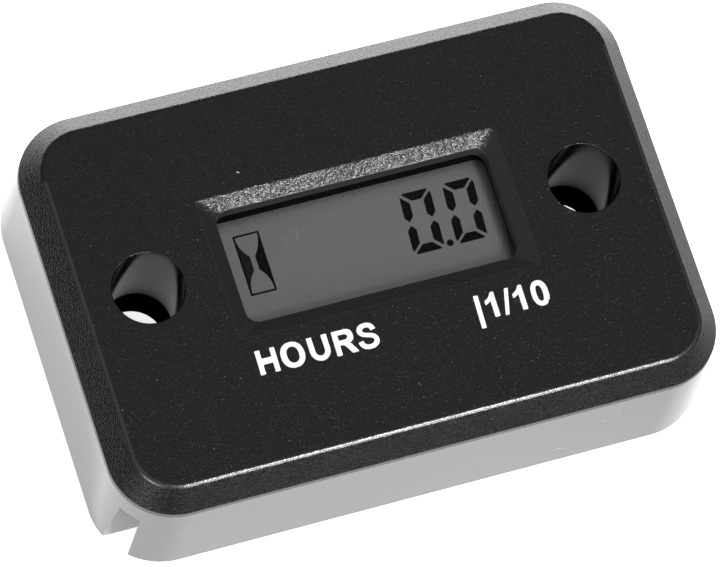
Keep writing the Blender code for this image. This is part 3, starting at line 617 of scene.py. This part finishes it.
def figureOne(x):
    return [(x + 0.65, -6.46), (x + 0.95, -6.46), (x + 0.91, -8.62), (x + 0.48, -8.62), (x + 0.50, -7.19),
            *smoothRun([(x + 0.33, -7.31), (x + 0.18, -7.39), (x + 0.0, -7.44)]),
            *smoothRun([(x + 0.0, -7.08), (x + 0.26, -6.95), (x + 0.50, -6.73)])]


zeroLoop = ovalLoop(11.96, -7.57, 0.72, 1.11, 2.3)
zeroLoop = [(x - 0.06, y + 0.07) if math.hypot(x - 12.46, y + 8.36) < 0.13 else (x, y) for x, y in zeroLoop]

glyphs = [
    (letterH, ()), (ovalLoop(-9.165, -7.435, 0.995, 1.105, 2.2), (ovalLoop(-9.145, -7.43, 0.50, 0.69, 2.3),)),
    (letterU, ()), (letterR, (counterR,)), (letterS, ()),
    ([(6.53, -6.45), (6.41, -9.29), (6.81, -9.29), (6.93, -6.45)], ()),
    (figureOne(7.31), ()), ([(8.64, -8.68), (9.20, -6.45), (9.54, -6.45), (8.98, -8.68)], ()),
    (figureOne(9.71), ()), (zeroLoop, (ovalLoop(11.93, -7.58, 0.27, 0.69, 2.4),)),
]


def flatPiece(name, shapes, low, high, finish, softness=0.06):
    # thin printed layer: each shape is an outline and its holes, in millimetres
    verts, faces = [], []
    for outline, holes in shapes:
        loops = []
        for index, loop in enumerate((outline, *holes)):
            loop = softCorners(loop, softness)
            area = sum(a[0] * b[1] - b[0] * a[1] for a, b in zip(loop, loop[1:] + loop[:1]))
            if (area < 0) != (index > 0):
                loop.reverse()   # outlines run anticlockwise and holes clockwise
            loops.append([Vector((x * mm, y * mm, 0.0)) for x, y in loop])
        start = len(verts)
        flat = [point for loop in loops for point in loop]
        verts += [(point.x, point.y, high) for point in flat] + [(point.x, point.y, low) for point in flat]
        for a, b, c in tessellate_polygon(loops):
            faces.append((start + a, start + b, start + c))
            faces.append((start + c + len(flat), start + b + len(flat), start + a + len(flat)))
        first = start
        for loop in loops:
            for index in range(len(loop)):
                here, after = first + index, first + (index + 1) % len(loop)
                faces.append((here, here + len(flat), after + len(flat), after))
            first += len(loop)
    piece = newObject(name, meshOf(name, verts, faces))
    piece.data.materials.append(finish)
    cleanMesh(piece.data, 0.0001 * mm)
    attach(piece, "root")
    return piece


flatPiece("facePrint", glyphs, faceHeight - ink["sunk"], housing["height"], inkWhite)
print("print done")


# Small marks of use: scuffs and specks on the face, then a streak and specks on the lower side wall

marks = {"sunk": 0.002 * mm, "speckRise": 0.006 * mm, "scuffRise": 0.003 * mm}
scuffPale = noiseFinish("scuffPale", {
    "noise": (9000.0, 3.0, 0.7), "tones": (0.03, 0.2), "rough": (0.45, 0.7), "relief": 0.006 * mm,
    "shader": {"IOR": 1.5}})
dustWhite = noiseFinish("dustWhite", {
    "noise": (8000.0, 3.0, 0.7), "tones": (0.35, 0.7), "rough": (0.6, 0.8), "relief": 0.006 * mm,
    "shader": {"IOR": 1.4}})
wallPale = noiseFinish("wallPale", {
    "noise": (9000.0, 3.0, 0.7), "tones": (0.45, 0.85), "rough": (0.3, 0.5), "relief": 0.004 * mm,
    "shader": {"IOR": 1.5}})


def strokeLoop(points, width):
    # outline of a thin tapered scratch along its points
    left, right = [], []
    for index, point in enumerate(points):
        here = Vector(point)
        along = Vector(points[min(index + 1, len(points) - 1)]) - Vector(points[max(index - 1, 0)])
        across = Vector((-along.y, along.x)).normalized() * width / 2
        across *= 0.35 if index in (0, len(points) - 1) else 1.0
        left.append(tuple(here + across))
        right.append(tuple(here - across))
    return left + right[::-1]


def marksOf(strokes, dots):
    # outlines of scratches, each with its width, and of small oval specks
    return ([(strokeLoop(points, width), ()) for points, width in strokes]
            + [(ovalLoop(x, y, halfX, halfY, 2, 8), ()) for x, y, halfX, halfY in dots])


scuffs = marksOf(
    ((((-0.07, -12.27), (0.02, -12.47), (0.08, -12.70)), 0.07),
     (((6.67, -13.46), (6.61, -13.62), (6.53, -13.77)), 0.05)),
    ((-0.08, -5.55, 0.05, 0.04), (0.67, -6.85, 0.04, 0.05)))
speck = [(-8.86, 8.72), (-8.80, 8.76), (-8.72, 8.72), (-8.63, 8.67), (-8.61, 8.61), (-8.72, 8.62), (-8.82, 8.66)]
flatPiece("faceSpeck", [(speck, ())], faceHeight - marks["sunk"], faceHeight + marks["speckRise"], dustWhite,
          0.01)
flatPiece("faceScuffs", scuffs, faceHeight - marks["sunk"], faceHeight + marks["scuffRise"], scuffPale,
          0.01)

# the wall's marks are drawn flat, as X and height, and then laid onto the sloping wall
wallMarks = marksOf(
    ((((16.30, 5.93), (16.41, 7.39), (16.37, 9.41)), 0.03), (((15.10, 6.74), (15.27, 6.62), (15.42, 6.60)), 0.07),
     (((11.45, 2.69), (11.80, 2.88), (12.35, 2.58)), 0.11)),
    ((12.14, 1.90, 0.05, 0.04), (15.63, 5.80, 0.04, 0.05), (12.30, 5.80, 0.07, 0.07), (12.62, 2.30, 0.06, 0.05)))
wallPiece = flatPiece("wallMarks", wallMarks, -marks["sunk"], marks["scuffRise"], wallPale, 0.01)
for vertex in wallPiece.data.vertices:
    across, up, lift = vertex.co
    vertex.co = (across, wallInset(up) - housing["width"] / 2 - lift, up)
print("marks done")


# Display: dark marks on the film, under the lens

lcd = {
    "top": 9.6 * mm, "thick": 0.012 * mm, "shadeDrop": 0.004 * mm, "shadeSheetRise": 0.03 * mm, "fibreRise": 0.02 * mm,
    "shadeSheetX": 12.15, "shadeSheetY": 5.4, "shadeSheetSpare": 0.2 * mm, "shadeSheetCorner": 0.8 * mm, "shadeSheetShift": -0.17 * mm,
    "centreX": 5.24, "centreY": 1.70, "pitch": 3.74, "slant": 0.07, "dot": (6.93, -0.69, 0.29),
}
lcdDark = noiseFinish("lcdDark", {
    "noise": (3000.0, 2.0), "tones": (0.002, 0.004), "rough": (0.35, 0.5), "relief": 0.0005 * mm,
    "shader": {"IOR": 1.45, "Specular IOR Level": 0.04}})
lcdShade = noiseFinish("lcdShade", {
    "noise": (2500.0, 2.0), "tones": (0.009, 0.013), "rough": (0.35, 0.5), "relief": 0.0005 * mm,
    "shader": {"IOR": 1.45, "Specular IOR Level": 0.04}})
# painted shade: the black of the sheet under the housing's ledge, where only shadow falls
shadeSheetBlack = noiseFinish("shadeSheetBlack", {
    "noise": (2600.0, 3.0), "tones": (0.002, 0.005), "rough": (0.6, 0.8), "relief": 0.002 * mm,
    "shader": {"IOR": 1.4, "Specular IOR Level": 0.05}})
fibrePale = noiseFinish("fibrePale", {
    "noise": (4000.0, 2.0), "tones": (0.2, 0.3), "rough": (0.5, 0.7), "relief": 0.002 * mm,
    "shader": {"IOR": 1.45}})

# half a digit, about its centre: upper left, top and upper right segment
halfDigit = [
    [(-1.345, 2.42), (-1.345, 0.53), (-0.98, 0.15), (-0.59, 0.60), (-0.59, 1.74)],
    [(-1.15, 2.62), (-1.02, 2.675), (0.98, 2.675), (1.13, 2.61), (0.44, 1.915), (-0.40, 1.915)],
    [(1.25, 2.43), (1.345, 2.12), (1.345, 0.56), (0.96, 0.15), (0.60, 0.57), (0.60, 1.78)],
]


def digitTree():
    # sets the half digit upright and turned over at each place of a row
    tree, given = newTree("digitRow", (
        ("Half digit", "Geometry"), ("Digits", "Int"), ("Pitch", "Vector"), ("Start", "Vector"),
        ("Turn", "Vector"), ("Finish", "Material")))
    row = node(tree, "GeometryNodeMeshLine", {"Count": given["Digits"], "Start Location": given["Start"],
                                              "Offset": given["Pitch"]})
    upper = node(tree, "GeometryNodeInstanceOnPoints", {"Points": row.outputs[0], "Instance": given["Half digit"]})
    lower = node(tree, "GeometryNodeInstanceOnPoints", {"Points": row.outputs[0], "Instance": given["Half digit"],
                                                        "Rotation": given["Turn"]})
    both = node(tree, "GeometryNodeJoinGeometry", {0: upper.outputs[0]})
    tree.links.new(lower.outputs[0], both.inputs[0])
    endTree(tree, both.outputs[0], given["Finish"])
    return tree


def buildDisplay():
    shapes = [([(x + lcd["slant"] * y, y) for x, y in loop], ()) for loop in halfDigit]
    digits = flatPiece("lcdDigits", shapes, 0.0, lcd["thick"], lcdDark, 0.09)
    growWith(digits, digitTree(), {
        "Digits": 2, "Pitch": (lcd["pitch"] * mm, 0.0, 0.0), "Turn": (0.0, 0.0, math.pi),
        "Start": (lcd["centreX"] * mm, lcd["centreY"] * mm, lcd["top"]), "Finish": lcdDark})
    low, high = lcd["top"], lcd["top"] + lcd["thick"]
    x, y, radius = lcd["dot"]
    flatPiece("lcdPoint", [(ovalLoop(x, y, radius, radius, 2, 28), ())], low, high, lcdDark, 0.01)

    # hourglass sign: a frame line, then what stands beside the glass on each side
    frameOut = [(-10.27, 4.34), (-8.03, 4.35), (-8.06, -0.96), (-10.28, -0.95)]
    frameIn = [(-10.10, 4.18), (-8.20, 4.19), (-8.23, -0.79), (-10.11, -0.78)]
    flatPiece("lcdFrame", [(frameOut, (frameIn,))], low, high, lcdDark, 0.04)
    leftRun = smoothRun([(-10.12, 4.17), (-10.00, 3.42), (-9.73, 2.80), (-9.37, 2.37)])
    leftRun += smoothRun([(-9.37, 1.12), (-9.75, 0.63), (-9.99, 0.06), (-10.10, -0.45), (-10.12, -0.80)])
    rightRun = smoothRun([(-8.19, 4.20), (-8.27, 3.62), (-8.55, 2.89), (-8.94, 2.29)])
    rightRun += smoothRun([(-8.94, 1.11), (-8.53, 0.56), (-8.29, -0.09), (-8.21, -0.80)])
    flatPiece("lcdGlassLeft", [(leftRun + [(-10.13, -0.80), (-10.13, 4.17)], ())], low, high - lcd["shadeDrop"],
              lcdShade, 0.01)
    flatPiece("lcdGlassRight", [(rightRun + [(-8.18, -0.80), (-8.17, 4.20)], ())], low, high - lcd["shadeDrop"],
              lcdDark, 0.01)

    # black sheet round the display's visible area, under the housing's ledge: painted shade for the dark that falls
    # there
    row = housing["row"] / mm
    inner = roundedOutline(housing["windowX"] + lcd["shadeSheetSpare"], housing["windowY"], lcd["shadeSheetCorner"], 0.0,
                           housing["row"] + lcd["shadeSheetShift"], 8)
    inner = [(x / mm, y / mm) for x, y, z in inner]
    outer = [(sideX * lcd["shadeSheetX"], row + sideY * lcd["shadeSheetY"])
             for sideX, sideY in ((-1, -1), (1, -1), (1, 1), (-1, 1))]
    flatPiece("lcdPaintedShade", [(outer, (inner,))], low, high + lcd["shadeSheetRise"], shadeSheetBlack, 0.02)

    # a loose fibre that lies on the film
    fibre = smoothRun([(-5.03, 3.68), (-5.00, 3.45), (-5.01, 3.20), (-5.06, 2.98), (-5.18, 2.88), (-5.32, 2.93)])
    flatPiece("fibre", [(strokeLoop(fibre, 0.045), ())], low, high + lcd["fibreRise"], fibrePale,
              0.005)


buildDisplay()
print("display done")


# Finishes of the CAD pieces that stay

def dress(names, material):
    for name in names:
        slots = nodes[name].data.materials
        if not len(slots):
            slots.append(material)
        for index in range(len(slots)):
            slots[index] = material


def plainFinish(name, look):
    # a fine noise carries the gloss and the relief, and a coarse one the colour
    material, tree, shader, place = newMaterial(name, look["shader"])
    pattern = noise(tree, place, look["grain"], 4.0, 0.6)
    coarse = ranged(tree, noise(tree, place, look["grain"] / 9, 2.0), 0.0, 1.0, 0.3, 0.7)
    wire(tree, shader, mixed(tree, coarse, *greys(look["tones"])),
         ranged(tree, pattern, *look["rough"], 0.3, 0.7), bump(tree, pattern, look["relief"]))
    return material


plain = {
    "filmGrey": {
        "pieces": ["lcd_front_polariser"], "tones": (0.30, 0.32), "grain": 900.0, "rough": (0.27, 0.29),
        "relief": 0.0001 * mm, "shader": {"Metallic": 0.86}},
    "reflectorSilver": {
        "pieces": ["lcd_reflector"], "tones": (0.5, 0.62), "grain": 5200.0, "rough": (0.25, 0.4),
        "relief": 0.0012 * mm, "shader": {"Metallic": 0.8}},
    "holderWhite": {
        "pieces": ["lcd_holder"], "tones": (0.68, 0.76), "grain": 3800.0, "rough": (0.42, 0.58),
        "relief": 0.003 * mm, "shader": {}},
    "resinBlack": {
        "pieces": ["processor_blob", "signal_transistor", "clamp_diode"], "tones": (0.011, 0.019),
        "grain": 4600.0, "rough": (0.3, 0.55), "relief": 0.004 * mm, "shader": {}},
    "pottingBlack": {
        "pieces": ["potting_compound"], "tones": (0.012, 0.019), "grain": 420.0, "rough": (0.08, 0.2),
        "relief": 0.02 * mm, "shader": {"IOR": 1.55}},
}
for name, look in plain.items():
    dress(look["pieces"], plainFinish(name, look))

# clear window: glass for what the eye sees, and open to the light that falls through it
lens = {
    "shader": {"Roughness": 0.0, "IOR": 1.49, "Specular Tint": grey(0.15), "Transmission Weight": 1.0},
    "haze": 2200.0, "dull": (0.95, 0.96, 0.96, 1.0), "bright": (0.98, 0.99, 0.99, 1.0),
    "wave": 300.0, "waveDepth": 0.0001 * mm, "passed": (0.93, 0.94, 0.94, 1.0),
}
clearWindow, tree, shader, place = newMaterial("clearWindow", lens["shader"])
haze = noise(tree, place, lens["haze"], 3.0)
tree.links.new(mixed(tree, haze, lens["dull"], lens["bright"]), shader.inputs["Base Color"])
tree.links.new(bump(tree, noise(tree, place, lens["wave"]), lens["waveDepth"]), shader.inputs["Normal"])
path = node(tree, "ShaderNodeLightPath").outputs
passing = maths(tree, "MAXIMUM", maths(tree, "MAXIMUM", path["Is Shadow Ray"], path["Is Diffuse Ray"]),
                path["Is Glossy Ray"])
clear = node(tree, "ShaderNodeBsdfTransparent", {"Color": lens["passed"]})
both = node(tree, "ShaderNodeMixShader", {0: passing, 1: shader.outputs[0], 2: clear.outputs[0]})
tree.links.new(both.outputs[0], tree.nodes["Material Output"].inputs["Surface"])
dress(["window_lens"], clearWindow)

# glass sheets of the display
glass = {
    "shader": {"Base Color": (0.75, 0.84, 0.80, 1.0), "IOR": 1.52, "Transmission Weight": 0.85},
    "specks": (3500.0, 3.0), "rough": (0.03, 0.12, 0.5, 0.8), "relief": 0.0004 * mm,
}
glassPale, tree, shader, place = newMaterial("glassPale", glass["shader"])
specks = noise(tree, place, *glass["specks"])
tree.links.new(ranged(tree, specks, *glass["rough"]), shader.inputs["Roughness"])
tree.links.new(bump(tree, specks, glass["relief"]), shader.inputs["Normal"])
dress(["lcd_front_glass", "lcd_rear_glass"], glassPale)

# contact strips: pink rubber with fine dark stripes across
rubber = {
    "ior": 1.42, "stripes": 620.0, "waver": 0.4, "edge": (0.45, 0.55), "pink": (0.56, 0.33, 0.31, 1.0),
    "dark": (0.03, 0.026, 0.026, 1.0), "grain": 4000.0, "rough": (0.6, 0.8), "relief": 0.01 * mm,
}
stripRubber, tree, shader, place = newMaterial("stripRubber", {"IOR": rubber["ior"]})
stripes = node(tree, "ShaderNodeTexWave", {"Vector": place, "Scale": rubber["stripes"], "Distortion": rubber["waver"],
                                           "Detail": 1.0}, bands_direction="X").outputs["Fac"]
lines = ranged(tree, stripes, 0.0, 1.0, *rubber["edge"])
wire(tree, shader, mixed(tree, lines, rubber["pink"], rubber["dark"]),
     ranged(tree, noise(tree, place, rubber["grain"]), *rubber["rough"]), bump(tree, lines, rubber["relief"]))
dress(["contact_strip_upper", "contact_strip_lower"], stripRubber)

# board: tracks under green mask, with the weave of the laminate in its relief
board = {
    "ior": 1.5, "tracks": 260.0, "trackWidth": 0.09, "trackDepth": 0.015 * mm, "track": (0.05, 0.3, 0.11, 1.0),
    "weave": 2600.0, "weaveDepth": 0.002 * mm, "cloud": 500.0, "dark": (0.012, 0.12, 0.045, 1.0),
    "pale": (0.022, 0.17, 0.065, 1.0), "grain": (2600.0, 3.0), "rough": (0.28, 0.45),
}
boardGreen, tree, shader, place = newMaterial("boardGreen", {"IOR": board["ior"]})
tracks = node(tree, "ShaderNodeTexBrick", {"Vector": place, "Scale": board["tracks"],
                                           "Mortar Size": board["trackWidth"], "Color1": grey(0.0),
                                           "Color2": grey(0.0), "Mortar": grey(1.0)}).outputs["Color"]
weave = node(tree, "ShaderNodeTexChecker", {"Vector": place, "Scale": board["weave"]}).outputs["Fac"]
base = mixed(tree, noise(tree, place, board["cloud"]), board["dark"], board["pale"])
woven = bump(tree, weave, board["weaveDepth"])
wire(tree, shader, mixed(tree, tracks, base, board["track"]),
     ranged(tree, noise(tree, place, *board["grain"]), *board["rough"]),
     bump(tree, tracks, board["trackDepth"], woven))
dress(["circuit_board"], boardGreen)


def metalFinish(name, look):
    # brushed metal: fine lines across one direction, with dull patches
    low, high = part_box(look["centred"])
    material, tree, shader, place = newMaterial(name, {"Metallic": 1.0})
    centred = node(tree, "ShaderNodeMapping", {"Vector": place, "Location": [-v for v in (low + high) / 2]})
    stretched = node(tree, "ShaderNodeMapping", {"Vector": centred.outputs[0], "Scale": look["brush"]})
    lines = noise(tree, stretched.outputs[0], 1.0, 3.0, 0.7)
    patches = noise(tree, place, look["patches"], 3.0)
    wire(tree, shader, mixed(tree, patches, look["dull"], look["bright"]), ranged(tree, lines, *look["rough"]),
         bump(tree, lines, look["relief"]))
    return material


metals = {
    "cellSteel": {
        "pieces": ["coin_cell", "watch_crystal"], "centred": "coin_cell", "dull": (0.54, 0.54, 0.56, 1.0),
        "bright": (0.66, 0.66, 0.67, 1.0), "brush": (900.0, 12000.0, 12000.0)},
    "tabNickel": {
        "pieces": ["cell_tab_plus", "cell_tab_minus"], "centred": "cell_tab_plus", "dull": (0.5, 0.48, 0.44, 1.0),
        "bright": (0.62, 0.6, 0.56, 1.0), "brush": (1200.0, 14000.0, 14000.0)},
}
for name, look in metals.items():
    look.update(patches=700.0, rough=(0.2, 0.42, 0.3, 0.7), relief=0.002 * mm)
    dress(look["pieces"], metalFinish(name, look))

chip = {
    "ior": 1.5, "grain": (5200.0, 4.0, 0.6), "rough": (0.3, 0.6), "relief": 0.005 * mm,
    "tinnedFrom": 0.38 * mm, "tinnedTo": 0.34 * mm, "tin": (0.66, 0.66, 0.65, 1.0),
    "capacitor": ((0.34, 0.24, 0.15, 1.0), (0.5, 0.36, 0.24, 1.0)), "resistor": (grey(0.018), grey(0.04)),
}


def chipFinish(name, dull, bright):
    # fired body between two tinned ends, across the chip's own length
    low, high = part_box(name)
    size = high - low
    axis = 0 if size.x > size.y else 1
    material, tree, shader, place = newMaterial(name + "Finish", {"IOR": chip["ior"]})
    centred = node(tree, "ShaderNodeMapping", {"Vector": place, "Location": [-v for v in (low + high) / 2]})
    along = node(tree, "ShaderNodeSeparateXYZ", {0: centred.outputs[0]}).outputs[axis]
    tinned = ranged(tree, maths(tree, "ABSOLUTE", along), 0.0, 1.0, size[axis] / 2 - chip["tinnedFrom"],
                    size[axis] / 2 - chip["tinnedTo"])
    grain = noise(tree, place, *chip["grain"])
    body = mixed(tree, grain, dull, bright)
    tree.links.new(tinned, shader.inputs["Metallic"])
    wire(tree, shader, mixed(tree, tinned, body, chip["tin"]), ranged(tree, grain, *chip["rough"]),
         bump(tree, grain, chip["relief"]))
    dress([name], material)


for name in ("load_capacitor_1", "load_capacitor_2", "supply_capacitor", "signal_capacitor"):
    chipFinish(name, *chip["capacitor"])
for name in ("input_resistor", "bias_resistor", "pull_resistor"):
    chipFinish(name, *chip["resistor"])
print("finishes done")


# Floor, lamps and world

studio = {
    "key": {"towards": (0.234, -0.690, 0.685), "along": (0.0, 0.704, 0.710), "distance": 0.5,
            "size": (0.028, 0.42), "power": 1.5},
    "glint": {"towards": (0.234, -0.424, 0.874), "along": (0.0, 0.90, 0.437), "distance": 0.5,
              "size": (0.06, 0.052), "power": 0.95},
    "side": {"towards": (-0.70, -0.55, 0.46), "along": (0.0, 0.0, 1.0), "distance": 0.6,
             "size": (0.28, 0.24), "power": 1.3},
    "strip": {"place": (0.016, 0.050, 0.022), "size": (0.094, 0.03), "power": 0.078},
    "floorRadius": 0.12, "floorSides": 48, "floorColour": 0.6, "floorSeen": 0.85, "floorMirrored": 0.44,
    # painted light: the next two ramps make the paper's reflected glow brighter on the left and dimmer on the right
    "paintedLightLeft": (0.17, -0.022, -0.029), "paintedDimRight": (0.24, 0.008, 0.050),
    "horizon": 0.02, "overhead": 0.375, "skyRamp": (0.05, 0.75),
}
aim = Vector((0.0, 0.0, 8.0 * mm))


def lampAt(name, lamp, place, towards, along):
    light = bpy.data.lights.new(name, "AREA")
    light.shape = "RECTANGLE"
    light.size, light.size_y = lamp["size"]
    light.energy = lamp["power"]
    source = bpy.data.objects.new(name, light)
    across = Vector(along).cross(towards).normalized()
    turn = Matrix((across, towards.cross(across), towards)).transposed()
    source.matrix_world = Matrix.Translation(place) @ turn.to_4x4()
    source.visible_camera = False
    collection.objects.link(source)
    return source


for name in ("key", "glint", "side"):
    towards = Vector(studio[name]["towards"]).normalized()
    lampAt(name, studio[name], aim + towards * studio[name]["distance"], towards, studio[name]["along"])
# a low strip behind the meter that lights the paper there, which the upper bevel mirrors
strip = lampAt("strip", studio["strip"], Vector(studio["strip"]["place"]), Vector((0.0, 0.0, 1.0)), (0.0, 1.0, 0.0))
strip.visible_glossy = False

floorPale = bpy.data.materials.new("floorPale")
floorPale.use_nodes = True
tree = floorPale.node_tree
tree.nodes.clear()
path = node(tree, "ShaderNodeLightPath").outputs
seen = maths(tree, "MAXIMUM", path["Is Camera Ray"], path["Is Transmission Ray"])
seen = maths(tree, "MULTIPLY", seen, studio["floorSeen"])
# painted light: the paper's glow that reflections show is a little brighter left of the meter and dimmer towards the
# right, as if lit from the left
across = node(tree, "ShaderNodeSeparateXYZ", {0: node(tree, "ShaderNodeTexCoord").outputs["Object"]}).outputs["X"]
mirrored = maths(tree, "ADD", ranged(tree, across, 0.0, *studio["paintedLightLeft"]), studio["floorMirrored"])
mirrored = maths(tree, "SUBTRACT", mirrored, ranged(tree, across, 0.0, *studio["paintedDimRight"]))
mirrored = maths(tree, "MULTIPLY", path["Is Glossy Ray"], mirrored)
paper = node(tree, "ShaderNodeBsdfDiffuse", {"Color": grey(studio["floorColour"])})
glow = node(tree, "ShaderNodeEmission", {"Color": grey(1.0), "Strength": maths(tree, "MAXIMUM", seen, mirrored)})
whole = node(tree, "ShaderNodeAddShader", {0: paper.outputs[0], 1: glow.outputs[0]})
node(tree, "ShaderNodeOutputMaterial", {"Surface": whole.outputs[0]})
radius, sides = studio["floorRadius"], studio["floorSides"]
rim = [(radius * math.cos(2 * math.pi * step / sides), radius * math.sin(2 * math.pi * step / sides), 0.0)
       for step in range(sides)]
floorDisc = newObject("floor", meshOf("floor", rim, [tuple(range(sides))]))
floorDisc.data.materials.append(floorPale)

world = bpy.data.worlds.new("studio")
bpy.context.scene.world = world
world.use_nodes = True
tree = world.node_tree
tree.nodes.clear()
direction = node(tree, "ShaderNodeTexCoord").outputs["Generated"]
upwards = node(tree, "ShaderNodeSeparateXYZ", {0: direction}).outputs["Z"]
level = ranged(tree, upwards, studio["horizon"], studio["overhead"], *studio["skyRamp"])
sky = node(tree, "ShaderNodeBackground", {"Color": grey(1.0), "Strength": level})
white = node(tree, "ShaderNodeBackground", {"Color": grey(1.0), "Strength": 1.0})
path = node(tree, "ShaderNodeLightPath").outputs
background = maths(tree, "MAXIMUM", path["Is Camera Ray"], path["Is Transmission Ray"])
shown = node(tree, "ShaderNodeMixShader", {0: background, 1: sky.outputs[0], 2: white.outputs[0]})
node(tree, "ShaderNodeOutputWorld", {"Surface": shown.outputs[0]})
bpy.context.scene.view_settings.view_transform = "Standard"
print("studio done")
